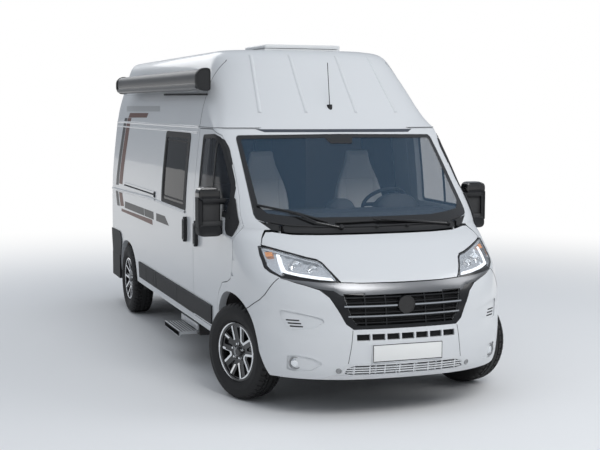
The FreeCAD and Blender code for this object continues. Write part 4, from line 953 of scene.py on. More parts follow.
def loft(name, rows, body, material, smooth=35):
    """A closed solid through rings of points, with its two ends filled."""
    pick_only()
    bpy.ops.mesh.primitive_grid_add(x_subdivisions=len(rows[0]), y_subdivisions=len(rows) - 1, size=1)
    piece = bpy.context.object
    piece.name = piece.data.name = name
    flat = [point for row in rows for point in list(row) + [row[0]]]
    for vert, point in zip(piece.data.vertices, flat):
        vert.co = point
    bpy.ops.object.mode_set(mode="EDIT")
    bpy.ops.mesh.select_all(action="SELECT")
    bpy.ops.mesh.remove_doubles(threshold=0.00001)
    bpy.ops.mesh.select_all(action="DESELECT")
    bpy.ops.mesh.select_mode(type="EDGE")
    bpy.ops.mesh.select_non_manifold()
    bpy.ops.mesh.fill_holes(sides=0)
    bpy.ops.mesh.select_all(action="SELECT")
    bpy.ops.mesh.normals_make_consistent(inside=False)
    bpy.ops.object.mode_set(mode="OBJECT")
    return finish_piece(piece, body, material, smooth)


# %% Border, sun strip and cowl
screen_outer = metres((0, 1303), (500, 1303), (730, 1314), (848, 1356), (855, 1388), (826, 1925), (813, 1946),
                      (0, 1954))
screen_inner = metres((0, 1362), (500, 1365), (656, 1378), (771, 1395), (815, 1445), (800, 1912), (785, 1925),
                      (0, 1934))
for label, side in (("right", -1), ("left", 1)):
    rows = frame_rows(near_front, sided(side, screen_outer), sided(side, screen_inner), 0.012, 2, 0.0008)
    strip("screen_border_" + label, rows, "body", gloss_black, thick=0.0008)
    seam_line = sided(side, metres((0, 1300), (500, 1300), (732, 1311), (851, 1354), (859, 1389), (829, 1928),
                                   (814, 1950), (0, 1958)))
    strip("screen_seam_" + label, ribbon_rows(near_front, seam_line, 0.006, 150, 0.0004), "body", seam_dark,
          thick=0.001)
rows = between(near_front, metres((-599, 1976), (625, 1973)), metres((-661, 1998), (670, 1996)), 60, 3, 0.001)
strip("sun_strip", rows, "body", slate, thick=0.0016)
rows = between(near_front, metres((-100, 1888), (77, 1886)), metres((-138, 1944), (110, 1942)), 24, 8, 0.001)
strip("sensor_cover", rows, "body", gloss_black, thick=0.0014)
rows = ribbon_rows(near_front,
                   metres((-770, 1334), (-640, 1312), (-430, 1302), (0, 1297), (430, 1302), (640, 1312),
                          (770, 1334)), 0.010, 110, 0.004)
strip("cowl_lip", rows, "body", black_plastic, thick=0.006)


# %% Wipers
def wiper_bar(name, line, lifts, widths, tall, material):
    """A bar over the glass: its line in front view, its height above the glass and its width along the way."""
    points = resample(line, 24)
    rings = []
    for i, (x, z) in enumerate(points):
        share = i / 24
        lift = lifts[0] + share * (lifts[1] - lifts[0])
        half = (widths[0] + share * (widths[1] - widths[0])) / 2
        hit, normal = near_front(x, z)
        before, after = points[max(i - 1, 0)], points[min(i + 1, 24)]
        along = (near_front(*after)[0] - near_front(*before)[0]).normalized()
        cross = normal.cross(along).normalized()
        ring = []
        for u, v in ((-1, 0), (-0.7, 0.7), (0, 1), (0.7, 0.7), (1, 0), (0.8, -0.6), (-0.8, -0.6)):
            ring.append(hit + cross * half * u + normal * (lift + tall * (v + 0.6)))
        rings.append(ring)
    return loft(name, rings, "body", material, smooth=50)


wiper_lines = {
    "right": (metres((-825, 1444), (-567, 1389), (-362, 1326)), metres((-590, 1386), (-448, 1322), (-271, 1292))),
    "left": (metres((-302, 1322), (7, 1329), (313, 1324), (630, 1302)),
             metres((20, 1331), (330, 1313), (626, 1292))),
}
for label, (blade, arm) in wiper_lines.items():
    wiper_bar("wiper_rubber_" + label, blade, (0.001, 0.001), (0.007, 0.007), 0.006, seam_dark)
    wiper_bar("wiper_blade_" + label, blade, (0.010, 0.010), (0.017, 0.017), 0.006, black_plastic)
    wiper_bar("wiper_arm_" + label, arm, (0.021, 0.008), (0.013, 0.026), 0.006, gloss_black)
    x, z = arm[0]
    wiper_bar("wiper_clip_" + label, [(x - 0.028, z + 0.006), (x + 0.028, z - 0.006)], (0.014, 0.014),
              (0.022, 0.022), 0.009, black_plastic)
    x, z = arm[-1]
    hit, normal = near_front(x, z)
    cap = [(0.0, 0.019), (0.014, 0.019), (0.020, 0.016), (0.023, 0.009), (0.023, 0.0)]
    turned("wiper_cap_" + label, cap, 32, "body", black_plastic, hit + normal * 0.002, facing(normal))
for number, (x, z) in enumerate(metres((257, 1292), (9, 1291))):
    hit, normal = near_front(x, z)
    block(f"washer_nozzle_{number + 1}", hit + Vector((-0.013, -0.016, -0.002)),
          hit + Vector((0.013, 0.014, 0.012)), "body", black_plastic, bevel=0.004)
print("windscreen dressed")

# %% [markdown]
# ## Side windows and doors
# Each side window has a black frame that stands a little proud. The cab doors' windows have a dark edge and an
# upright divider. Handles are black covers over the moulded grips.

# %% Window frames
def inset(outline, distance):
    """A closed outline moved inwards by a distance; a negative distance moves it out."""
    area = sum(a[0] * b[1] - b[0] * a[1] for a, b in zip(outline, outline[1:] + outline[:1]))
    turn_sign = 1 if area > 0 else -1
    result = []
    count = len(outline)
    for i, point in enumerate(outline):
        before, after = outline[i - 1], outline[(i + 1) % count]
        first = Vector((point[0] - before[0], point[1] - before[1])).normalized()
        second = Vector((after[0] - point[0], after[1] - point[1])).normalized()
        normal = Vector((-first.y - second.y, first.x + second.x)).normalized() * turn_sign
        reach = distance / max(0.4, abs(normal.dot(Vector((-first.y, first.x)))))
        result.append((point[0] + normal.x * reach, point[1] + normal.y * reach))
    return result


def softened(outline, radius, steps=4):
    """A closed outline with its corners rounded off."""
    result = []
    count = len(outline)
    for i, point in enumerate(outline):
        before, after = outline[i - 1], outline[(i + 1) % count]
        start_share = min(0.45, radius / math.dist(point, before))
        end_share = min(0.45, radius / math.dist(point, after))
        a = [p + start_share * (q - p) for p, q in zip(point, before)]
        b = [p + end_share * (q - p) for p, q in zip(point, after)]
        for k in range(steps + 1):
            t = k / steps
            result.append(tuple((1 - t) ** 2 * u + 2 * t * (1 - t) * v + t * t * w for u, v, w in zip(a, point, b)))
    return result


slide_window = metres((3293, 1312), (2397, 1312), (2397, 1925), (3293, 1925))
cab_window = metres((1010, 1362), (1936, 1372), (1936, 1935), (1600, 1947), (1497, 1916), (1399, 1842),
                    (1286, 1731), (1145, 1587))
for label, side in (("right", -1), ("left", 1)):
    find = near_side(side)
    outer = softened(inset(slide_window, -0.026), 0.05)
    inner = softened(inset(slide_window, 0.024), 0.04)
    rows = ring_rows(find, outer, inner, 0.03, 2, 0.0022)
    strip("window_frame_" + label, rows, "body", black_plastic, thick=0.0036)
    pillar = [(2.375, 1.318), (2.375, 1.920)]
    rows = between(find, pillar, [(2.462, 1.318), (2.462, 1.920)], 20, 3, 0.003)
    strip("window_post_" + label, rows, "body", black_plastic, thick=0.004)
    lower = inset(slide_window, 0.045)
    rail = ring_rows(find, softened(lower, 0.03), softened(inset(lower, 0.014), 0.02), 0.03, 1, 0.002)
    strip("window_sash_" + label, rail, "body", black_plastic, thick=0.003)
    door_body = "door_" + label
    outer = softened(inset(cab_window, -0.014), 0.035)
    inner = softened(inset(cab_window, 0.020), 0.030)
    rows = ring_rows(find, outer, inner, 0.015, 5, 0.0020)
    strip("cab_window_frame_" + label, rows, door_body, black_plastic, thick=0.0020)
    rows = ribbon_rows(find, [(1.512, 1.372), (1.530, 1.925)], 0.034, 20, 0.002)
    strip("cab_window_post_" + label, rows, door_body, black_plastic, thick=0.003)
    sill = ribbon_rows(find, [(1.02, 1.354), (1.945, 1.364)], 0.020, 30, 0.003)
    strip("cab_window_sill_" + label, sill, door_body, black_plastic, thick=0.005)


# %% Handles
def handle_cover(name, distance, side, body):
    """Rounded black cover round the moulded handle, from the wall outwards."""
    rings = []
    low, high = 1.034, 1.246
    for j in range(15):
        share = j / 14
        z = low + (high - low) * share
        end = max(0.0, abs(2 * share - 1) - 0.70) / 0.30
        half = 0.0300 * math.sqrt(max(0.10, 1 - end * end))
        tall = 0.0365 - 0.010 * end ** 2
        base = (from_side(side, distance - 0.06, z)[0].x + from_side(side, distance + 0.06, z)[0].x) / 2
        section = ((-1, 0.0012), (-1, tall * 0.7), (-0.8, tall * 0.92), (-0.4, tall), (0.4, tall),
                   (0.8, tall * 0.92), (1, tall * 0.7), (1, 0.0012))
        rings.append([Vector((base + side * out, at(distance + half * u), z)) for u, out in section])
    return loft(name, rings, body, black_plastic, smooth=50)


handle_cover("handle_cover_front_right", 1.955, -1, "door_right")
handle_cover("handle_cover_front_left", 1.955, 1, "door_left")
handle_cover("handle_cover_slide", 2.335, -1, "body")

# %% [markdown]
# ## Lines of the body
# Two raised creases run along the wall above and below the windows, and dark seams show where panels meet.
# The creases are low ribs in the paint's own colour, so they catch the light as pressed metal does.

# %% Creases and seams
def rib(name, find, line, width, height, columns, body, material=None):
    rows = []
    middle = ribbon_rows(find, line, width, columns, 0.0)
    profile = (-0.0004, 0.55, 0.95, 1.0, 0.95, 0.55, -0.0004)
    for k, lift in enumerate(profile):
        share = k / (len(profile) - 1)
        row = []
        for a, b in zip(*middle):
            point = a.lerp(b, share)
            outward = find_normal(find, point)
            row.append(point + outward * (lift * height if lift > 0 else lift))
        rows.append(row)
    return strip(name, rows, body, material or pale_paint, thick=0.0008, smooth=60)


def seam(name, find, line, width=0.0045, columns=40, material=None):
    """A fine dark line where two panels meet."""
    rows = ribbon_rows(find, line, width, columns, 0.0006)
    return strip(name, rows, "body", material or seam_dark, thick=0.0008)


def find_normal(find, point):
    if find is near_front:
        return near_front(point.x, point.z)[1]
    return find(point.y + half_length, point.z)[1]


for label, side in (("right", -1), ("left", 1)):
    find = near_side(side)
    rib("crease_top_" + label, find, [(2.14, 2.006), (3.6, 2.004), (5.84, 2.002)], 0.024, 0.0055, 120, "body")
    low_line = [(3.59, 1.2955), (3.85, 1.298), (5.84, 1.264)] if side < 0 else [(2.17, 1.280), (3.85, 1.298),
                                                                                (5.84, 1.264)]
    rib("crease_low_" + label, find, low_line, 0.030, 0.0095, 90, "body")
    rib("crease_mid_" + label, find, [(3.59, 1.957), (5.84, 1.955)] if side < 0 else [(2.14, 1.958), (5.84, 1.955)],
        0.016, 0.003, 90, "body")
    if side < 0:
        rib("crease_slide_low", find, [(2.385, 1.2825), (3.555, 1.2952)], 0.030, 0.0095, 60, "body")
        rib("crease_slide_top", find, [(2.165, 1.958), (3.555, 1.957)], 0.016, 0.003, 60, "body")
    cap_seam = [(1.46, 2.0085), (1.80, 2.0085), (2.116, 2.0085)]
    seam("cap_seam_low_" + label, find, cap_seam)
    seam("cap_seam_back_" + label, find, [(2.1165, 2.01), (2.1165, 2.30), (2.1165, 2.56)])
    joint = metres((371, 979), (429, 857), (466, 817), (583, 748), (700, 700))
    seam("bumper_seam_" + label, find, joint, 0.0055)
    panel = sided(side, metres((398, 636), (412, 520), (430, 404)))
    seam("bumper_panel_seam_" + label, near_front, panel, 0.0035, 20)
    seam("wall_seam_" + label, find, [(2.13, 2.297), (5.75, 2.292)], 0.004, 90, material=panel_grey)
    for number, d in enumerate((3.68, 2.70, 4.03)):
        seam(f"cladding_seam_{label}_{number + 1}", cladding_find(side), [(d, 0.457), (d, 0.610)], 0.004, 8)
for number, x in enumerate((-0.555, -0.21, 0.21, 0.555)):
    lean = 0.06 if abs(x) > 0.4 else 0.02
    line = [(x * (1 + lean), 2.13), (x, 2.36), (x * (1 - lean), 2.60)]
    rib(f"cap_rib_{number + 1}", near_front, line, 0.030, 0.0065, 50, "body")
gutter = ribbon_rows(near_side(-1), [(2.079, 2.273), (3.727, 2.284)], 0.013, 40, 0.004)
strip("awning_gutter", gutter, "body", black_plastic, thick=0.010)
print("body lines made")

# %% [markdown]
# ## Stripes
# Flat coloured films on the painted wall: a brown and a dark stripe that lean forward at the rear, a brown bar on
# top, and grey and brown bars that run forward below the lower crease. The same set is laid on the left wall.

# %% Stripes
stripe_parts = [
    ("pale_bar", film_pale, [(5.407, 2.118), (3.743, 2.126)], [(5.478, 2.177), (3.798, 2.178)]),
    ("brown_bar", stripe_brown, [(5.264, 2.053), (4.308, 2.063)], [(5.223, 2.103), (4.262, 2.108)]),
    ("brown_upright", stripe_brown, [(5.094, 2.051), (5.269, 1.338)], [(5.287, 2.049), (5.459, 1.338)]),
    ("brown_foot", stripe_brown, [(5.269, 1.247), (5.166, 1.113)], [(5.459, 1.247), (5.360, 1.100)]),
    ("dark_upright", stripe_grey, [(5.316, 2.049), (5.490, 1.319)], [(5.458, 2.047), (5.640, 1.312)]),
    ("dark_foot", stripe_grey, [(5.505, 1.247), (5.405, 1.095)], [(5.650, 1.247), (5.560, 1.092)]),
    ("brown_low", stripe_brown, [(5.306, 1.048), (3.699, 1.047)], [(5.305, 1.075), (3.720, 1.095)]),
    ("grey_low_1", stripe_grey, [(5.120, 1.099), (4.095, 1.101)], [(5.100, 1.169), (4.115, 1.173)]),
    ("grey_low_2", stripe_grey, [(4.075, 1.101), (3.650, 1.102)], [(4.095, 1.173), (3.665, 1.175)]),
    ("grey_low_3", stripe_grey, [(3.540, 1.102), (2.997, 1.104)], [(3.540, 1.175), (3.170, 1.178)]),
]
for label, side in (("right", -1), ("left", 1)):
    find = near_side(side)
    for name, film, low, high in stripe_parts:
        rows = between(find, low, high, 40, 6, 0.0007)
        strip(f"stripe_{name}_{label}", rows, "body", film, thick=0.0005)
print("stripes laid")

# %% [markdown]
# ## Slide rail, mirrors and awning
# These stand off the wall, so they are built as solids from a few sections.

# %% Slide rail
find = near_side(-1)
rows = between(find, [(3.62, 1.3372), (5.12, 1.3372)], [(3.62, 1.3508), (5.12, 1.3508)], 60, 1, 0.0007)
strip("rail_slot", rows, "body", seam_dark, thick=0.0008)
rows = between(find, [(3.594, 1.315), (3.632, 1.315)], [(3.594, 1.373), (3.632, 1.373)], 4, 6, 0.0012)
strip("rail_end", rows, "body", black_plastic, thick=0.003)

# %% Mirrors
def mirror_part(name, side, low, high, body, material, bevel):
    a, b = (side * low[0], at(low[1]), low[2]), (side * high[0], at(high[1]), high[2])
    corner_low = tuple(min(p, q) for p, q in zip(a, b))
    corner_high = tuple(max(p, q) for p, q in zip(a, b))
    return block(name, corner_low, corner_high, body, material, bevel)


def shell_part(name, side, sections, body, material):
    """A mirror shell: rounded front-view sections, one per distance."""
    rings = [[place(side * x, distance, z) for x,
              z in softened([(x0, z0), (x1, z0), (x1, z1), (x0, z1)], radius, 5)]
             for distance, x0, x1, z0, z1, radius in sections]
    return loft(name, rings, body, material, smooth=40)


for label, side in (("right", -1), ("left", 1)):
    body = "door_" + label
    cap = shell_part("mirror_cap_" + label, side, [
        (1.176, 1.060, 1.170, 1.485, 1.540, 0.025), (1.168, 1.040, 1.192, 1.472, 1.556, 0.030),
        (1.172, 1.032, 1.200, 1.468, 1.566, 0.045), (1.220, 1.029, 1.204, 1.462, 1.572, 0.055),
        (1.268, 1.030, 1.204, 1.462, 1.570, 0.050)], body, gloss_black)
    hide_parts("mirror_" + label)
    shell_part("mirror_chin_" + label, side, [
        (1.178, 1.050, 1.165, 1.215, 1.262, 0.025), (1.169, 1.030, 1.190, 1.203, 1.280, 0.030),
        (1.175, 1.020, 1.200, 1.198, 1.290, 0.045), (1.222, 1.018, 1.204, 1.196, 1.296, 0.050),
        (1.268, 1.020, 1.204, 1.197, 1.296, 0.045)], body, black_plastic)
    shell_part("mirror_side_" + label, side, [
        (1.182, 1.172, 1.196, 1.270, 1.490, 0.010), (1.172, 1.168, 1.203, 1.262, 1.500, 0.014),
        (1.268, 1.166, 1.204, 1.262, 1.500, 0.014)], body, black_plastic)
    mirror_part("mirror_panel_" + label, side, (1.034, 1.192, 1.27), (1.172, 1.266, 1.482), body, grey_plastic,
                0.008)
    mirror_part("mirror_back_" + label, side, (0.985, 1.205, 1.285), (1.040, 1.262, 1.470), body, black_plastic,
                0.006)
    mirror_part("mirror_ledge_" + label, side, (0.985, 1.176, 1.268), (1.176, 1.262, 1.314), body, grey_plastic,
                0.010)
    mirror_part("mirror_brow_" + label, side, (0.950, 1.166, 1.452), (1.170, 1.212, 1.486), body, black_plastic,
                0.010)
    mirror_part("mirror_arm_" + label, side, (0.950, 1.178, 1.212), (1.040, 1.214, 1.244), body, black_plastic,
                0.010)
    mirror_part("mirror_slit_" + label, side, (1.002, 1.196, 1.300), (1.026, 1.204, 1.440), body, satin_silver,
                0.003)
    for name, z0, z1 in (("main", 1.318, 1.545), ("wide", 1.222, 1.305)):
        mirror_part(f"mirror_glass_{name}_{label}", side, (1.050, 1.266, z0), (1.190, 1.272, z1), body,
                    bright_metal, 0.003)
    foot = softened([(0.945, 1.215), (1.035, 1.222), (1.080, 1.262), (1.090, 1.480), (1.066, 1.497), (1.015, 1.440),
                     (0.918, 1.318)], 0.02)
    middle = (sum(p[0] for p in foot) / len(foot), sum(p[1] for p in foot) / len(foot))
    tight = [(middle[0] + (p[0] - middle[0]) * 0.05, middle[1] + (p[1] - middle[1]) * 0.05) for p in foot]
    rows = ring_rows(near_side(side), foot, tight, 0.02, 6, 0.007)
    strip("mirror_foot_" + label, rows, body, black_plastic, thick=0.012)

# %% Awning
case_section = [(-0.934, 2.471), (-0.965, 2.478), (-1.000, 2.472), (-1.022, 2.452), (-1.031, 2.420),
                (-1.032, 2.378),
                (-1.028, 2.362), (-1.031, 2.358), (-1.028, 2.336), (-1.012, 2.318), (-0.985, 2.309),
                (-0.940, 2.307),
                (-0.928, 2.315), (-0.926, 2.460)]
cap_section = softened([(-0.920, 2.484), (-0.990, 2.486), (-1.040, 2.440), (-1.040, 2.345), (-1.000, 2.302),
                        (-0.920, 2.300)], 0.030, 5)


def scaled(section, share):
    cx = sum(x for x, _ in section) / len(section)
    cz = sum(z for _, z in section) / len(section)
    return [(cx + (x - cx) * share, cz + (z - cz) * share) for x, z in section]


case = loft("awning_case", [[place(x, d, z) for x, z in case_section] for d in (1.885, 2.6, 3.5, 4.4, 5.285)],
            "body", awning_grey)
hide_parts("awning")
for name, steps in (("front", ((1.852, 0.86), (1.846, 0.94), (1.856, 1.0), (1.905, 1.0))),
                    ("back", ((5.265, 1.0), (5.312, 1.0), (5.322, 0.94), (5.316, 0.86)))):
    loft("awning_cap_" + name, [[place(x, d, z) for x, z in scaled(cap_section, share)] for d, share in steps],
         "body", black_plastic)
lead = [(-1.0285, 2.352), (-1.0365, 2.348), (-1.0365, 2.326), (-1.020, 2.314), (-1.012, 2.322)]
loft("awning_lead_rail", [[place(x, d, z) for x, z in lead] for d in (1.905, 3.6, 5.265)], "body", awning_light)
for number, d in enumerate((2.45, 3.55, 5.05)):
    block(f"awning_bracket_{number + 1}", place(-0.945, d - 0.06, 2.335), place(-0.845, d + 0.06, 2.415), "body",
          black_plastic, bevel=0.006)
print("awning made")

# %% [markdown]
# ## Seats and bed
# A cushion is soft, so a stiff block would look wrong. Each one starts a little too small, is cut into small even
# faces, and the cloth solver blows it up with a light pressure. How far a point may move is capped, so the cushion
# keeps its outline. Sewn channels are pressed in afterwards, because the remesh would erase them.

# %% Cushions
def read_points(piece, kind):
    """Places ("co") or normals ("normal") of all points, as one table."""
    table = np.empty(len(piece.data.vertices) * 3)
    piece.data.vertices.foreach_get(kind, table)
    return table.reshape(-1, 3)


def move_points(piece, table):
    piece.data.vertices.foreach_set("co", table.ravel())
    piece.data.update()


def flattened(piece, low, high):
    """Press a cushion flat where it rests on something."""
    table = read_points(piece, "co")
    table[:, 2] = np.clip(table[:, 2], low, high)
    move_points(piece, table)


def blown_up(piece, voxel, cap):
    """Remesh a closed form, inflate it as cloth by at most the cap and smooth it once."""
    remesh = piece.modifiers.new("even_faces", "REMESH")
    remesh.mode = "VOXEL"
    remesh.voxel_size = voxel
    apply_modifiers(piece)
    start = read_points(piece, "co")
    cloth = piece.modifiers.new("cloth", "CLOTH")
    cloth.settings.use_pressure = True
    cloth.settings.uniform_pressure_force = 4.0
    cloth.settings.effector_weights.gravity = 0.0
    cloth.collision_settings.use_collision = False
    for frame_number in range(1, 21):
        scene.frame_set(frame_number)
    shift = read_points(piece.evaluated_get(bpy.context.evaluated_depsgraph_get()), "co") - start
    piece.modifiers.remove(cloth)
    scene.frame_set(1)
    length = np.maximum(np.linalg.norm(shift, axis=1, keepdims=True), 1e-9)
    move_points(piece, start + shift * np.minimum(1.0, cap / length))
    soft = piece.modifiers.new("smoothing", "SUBSURF")
    soft.levels = soft.render_levels = 1
    apply_modifiers(piece)


def press_line(piece, axis, places, depth, width, facing, least):
    """Sewn channels: points near the given places on an axis sink along the facing direction."""
    table, outward = read_points(piece, "co"), read_points(piece, "normal")
    near = np.min(np.abs(table[:, axis, None] - np.array(places)), axis=1)
    sink = depth * np.exp(-(near / width) ** 2) * (outward @ np.array(facing) > least)
    move_points(piece, table - sink[:, None] * np.array(facing))


def seat_front(z):
    return 1.884 + 0.130 * (z - 1.036) / 0.624 if z < 1.66 else 2.014 + 0.016 * (z - 1.66) / 0.17


def seat_back_line(z):
    return 2.044 + 0.050 * min(1.0, (z - 1.036) / 0.624)


seat_x = 0.430
back_levels = [(1.052, 0.195, 0.8), (1.062, 0.212, 1.0), (1.130, 0.222, 1.0), (1.250, 0.226, 1.0),
               (1.380, 0.224, 1.0),
               (1.470, 0.212, 0.9), (1.550, 0.188, 0.7), (1.620, 0.160, 0.45), (1.690, 0.130, 0.2),
               (1.760, 0.112, 0.1),
               (1.806, 0.100, 0.05), (1.817, 0.086, 0.0)]
rings = []
for z, half, bolster in back_levels:
    front, rear = seat_front(z) + 0.010, seat_back_line(z) - 0.010
    if z in (back_levels[0][0], back_levels[-1][0]):
        front, rear = front + 0.014, rear - 0.014
    outline = softened([(-half, front - 0.006), (-half * 0.62, front + 0.022 * bolster),
                        (half * 0.62, front + 0.022 * bolster),
                        (half, front - 0.006), (half, rear), (-half, rear)], 0.016, 3)
    rings.append([place(-seat_x + x, d, z) for x, d in outline])
seat_back = loft("seat_back_right", rings, "body", seat_cloth)
blown_up(seat_back, 0.008, 0.014)
flattened(seat_back, 1.0370, 2.0)
press_line(seat_back, 0, (-seat_x - 0.125, -seat_x + 0.125), 0.006, 0.006, Vector((0, -1, 0)), 0.5)
press_line(seat_back, 2, (1.270, 1.560), 0.005, 0.006, Vector((0, -1, 0)), 0.5)
rings = []
for distance, half, low, high in ((1.492, 0.200, 0.950, 1.000), (1.500, 0.216, 0.944, 1.014),
                                  (1.540, 0.226, 0.941, 1.022),
                                  (1.700, 0.229, 0.941, 1.022), (1.860, 0.229, 0.941, 1.018),
                                  (1.975, 0.226, 0.941, 1.016),
                                  (1.996, 0.210, 0.946, 1.010)):
    outline = softened([(-half, low), (half, low), (half, high), (half * 0.62, high - 0.012),
                        (-half * 0.62, high - 0.012),
                        (-half, high)], 0.018, 3)
    rings.append([place(-seat_x + x, distance, z) for x, z in outline])
seat_cushion = loft("seat_cushion_right", rings, "body", seat_cloth)
blown_up(seat_cushion, 0.008, 0.014)
flattened(seat_cushion, 0.9305, 1.0362)
press_line(seat_cushion, 0, (-seat_x - 0.130, -seat_x + 0.130), 0.006, 0.006, Vector((0, 0, 1)), 0.5)
press_line(seat_cushion, 1, (at(1.66), at(1.80)), 0.005, 0.006, Vector((0, 0, 1)), 0.5)
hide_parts("front_seats")


def copied(piece, name, shift, body, material):
    twin = bpy.data.objects.new(name, piece.data.copy())
    twin.data.name = name
    bpy.context.collection.objects.link(twin)
    twin.data.transform(Matrix.Translation(shift))
    return finish_piece(twin, body, material, smooth=None)


seat_step = Vector((2 * seat_x, 0, 0))
pads = [seat_back, seat_cushion, copied(seat_back, "seat_back_left", seat_step, "body", seat_cloth),
        copied(seat_cushion, "seat_cushion_left", seat_step, "body", seat_cloth)]
for side, label in ((-1, "right"), (1, "left")):
    rings = []
    for z, half, front, rear in ((0.571, 0.200, 1.545, 1.975), (0.600, 0.190, 1.560, 1.960),
                                 (0.860, 0.185, 1.565, 1.955), (0.9295, 0.190, 1.560, 1.960)):
        outline = softened([(-half, front), (half, front), (half, rear), (-half, rear)], 0.030, 4)
        rings.append([place(side * seat_x + x, d, z) for x, d in outline])
    loft("seat_base_" + label, rings, "body", dash_plastic)
rings = []
for distance, inside in ((4.372, 0.014), (4.380, 0.0), (4.800, 0.0), (5.300, 0.0), (5.722, 0.0), (5.730, 0.014)):
    outline = softened([(-0.272 + inside, 0.912 + inside), (0.272 - inside, 0.912 + inside),
                        (0.272 - inside, 1.024 - inside),
                        (-0.272 + inside, 1.024 - inside)], 0.020, 3)
    rings.append([place(x, distance, z) for x, z in outline])
mattress = loft("mattress_middle", rings, "body", bed_cloth)
blown_up(mattress, 0.016, 0.014)
flattened(mattress, 0.9005, 2.0)
press_line(mattress, 1, (at(4.80), at(5.30)), 0.006, 0.010, Vector((0, 0, 1)), 0.5)
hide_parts("rear_bed")
pads += [mattress, copied(mattress, "mattress_right", Vector((-0.578, 0, 0)), "body", bed_cloth),
         copied(mattress, "mattress_left", Vector((0.578, 0, 0)), "body", bed_cloth)]
for pad in pads:
    pick_only(pad)
    bpy.ops.object.shade_smooth()
print("cushions made", sum(len(pad.data.polygons) for pad in pads), "faces")

# %% [markdown]
# ## Dashboard
# Behind the windscreen a rounded cover rises from the foot of the glass, with a hood over the dials in front of
# the driver and a lower hump in the middle. Seen from outside they hide the lower part of the steering wheel.

# %% Dashboard cover
screen = tree_of(["windscreen"])


def glass_depth(x, z):
    """Distance of the windscreen's outside at a width and height."""
    hit, _ = seen_from(screen, (x, before_nose, z), (0, 1, 0))
    return (hit.y + half_length) if hit is not None else 1.10


rings = []
for i in range(25):
    x = -0.84 + 1.68 * i / 24
    front = glass_depth(x, 1.37) + 0.030
    drop = 0.05 * max(0.0, abs(x) - 0.70) / 0.14
    outline = softened([(front, 1.250), (front, 1.345 - drop), (front + 0.09, 1.388 - drop),
                        (max(front + 0.16, 1.235), 1.386 - drop),
                        (1.312, 1.345 - drop), (1.322, 1.250)], 0.030, 4)
    rings.append([place(x, d, z) for d, z in outline])
loft("dash_cover", rings, "body", dash_plastic)
for name, middle, half, low, top, front, rear in (("dial_hood", 0.430, 0.205, 1.30, 1.492, 1.085, 1.275),
                                                  ("centre_hump", -0.040, 0.125, 1.30, 1.462, 1.090, 1.290)):
    rings = []
    for i in range(13):
        u = i / 6 - 1
        swell = (1 - abs(u) ** 2.6) ** 0.5 if abs(u) < 1 else 0.03
        height = low + (top - low) * max(swell, 0.03)
        deep = (rear - front) * (0.75 + 0.25 * swell)
        outline = softened([(rear - deep, low), (rear - deep * 0.86, (low + height) / 2 + 0.01),
                            (rear - deep * 0.55, height),
                            (rear, height - 0.006), (rear, height - 0.020), (rear - 0.04, height - 0.030),
                            (rear - 0.05, low)], 0.012, 3)
        rings.append([place(middle + half * u, d, z) for d, z in outline])
    loft(name, rings, "body", dash_plastic, smooth=50)
print("dashboard covered")

# %% [markdown]
# ## Lower dark panels
# The dark cladding runs on over the front doors, and at the rear the bumper's corners reach up the wall.

# %% Door cladding and rear corners
for label, side in (("right", -1), ("left", 1)):
    rows = between(near_side(side), [(1.532, 0.463), (2.146, 0.463)], [(1.502, 0.612), (2.146, 0.612)], 26, 6,
                   0.0068)
    strip("door_cladding_" + label, rows, "door_" + label, cladding_grey, thick=0.012)
    front_edge = [(5.440, 0.400), (5.412, 0.520), (5.362, 0.620), (5.285, 0.722), (5.330, 0.800), (5.410, 0.822)]
    rear_edge = [(5.895, 0.400), (5.895, 0.520), (5.895, 0.620), (5.895, 0.722), (5.895, 0.800), (5.895, 0.816)]
    rows = between(near_side(side), front_edge, rear_edge, 20, 16, 0.0052)
    strip("corner_panel_" + label, rows, "body", cladding_grey, thick=0.009)


# %% [markdown]
# ## Tail lamps and rear doors
# The lamps wrap round the rear corners, so their points are found with rays sent at the corner's own centre. Each
# is divided by height into red, amber and clear fields.

# %% Tail lamps
corner_middle = (0.850, 5.850)


def corner_point(side, angle, z, lift):
    """A point on the rear corner, from 0 degrees on the side to 90 degrees on the back."""
    turn_to = Vector((side * math.cos(angle), math.sin(angle), 0))
    middle = place(side * corner_middle[0], corner_middle[1], z)
    hit, _ = seen_from(skin, middle + turn_to * 0.6, -turn_to)
    return hit + turn_to * lift


def lamp_field(name, side, low, high, material, lift, start=31, end=79):
    rows = []
    steps = max(3, round((high - low) / 0.02))
    for j in range(steps + 1):
        z = low + (high - low) * j / steps
        edge = 0.0022 if j in (0, steps) else 0.0
        rows.append([corner_point(side, math.radians(start + (end - start) * i / 16), z,
                                  lift - edge - (0.0022 if i in (0, 16) else 0.0)) for i in range(17)])
    return strip(name, rows, "body", material, thick=0.004)


for label, side in (("right", -1), ("left", 1)):
    lamp_field("tail_base_" + label, side, 0.905, 1.475, black_plastic, 0.0026, 29, 81)
    for name, low, high, lens in (("stop", 1.300, 1.466, tail_red), ("turn", 1.165, 1.292, amber),
                                  ("reverse", 1.052, 1.157, lamp_silver),
                                  ("fog", 0.915, 1.044, tail_red)):
        lamp_field(f"tail_{name}_{label}", side, low, high, lens, 0.0050)
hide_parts("tail_lamps")


# %% Rear doors
def near_back(x, z):
    """A finder for the back; over a gap it takes the panel beside it."""
    hits = []
    for dx, dz in ((0, 0), (0.010, 0), (-0.010, 0), (0, 0.010), (0, -0.010)):
        hit, normal = seen_from(skin, (x + dx, -before_nose, z + dz), (0, -1, 0))
        if hit is not None and hit.y > at(5.900):
            hits.append(hit.y)
    hits.sort()
    return Vector((x, hits[len(hits) // 2] if hits else at(5.953), z)), Vector((0, 1, 0))


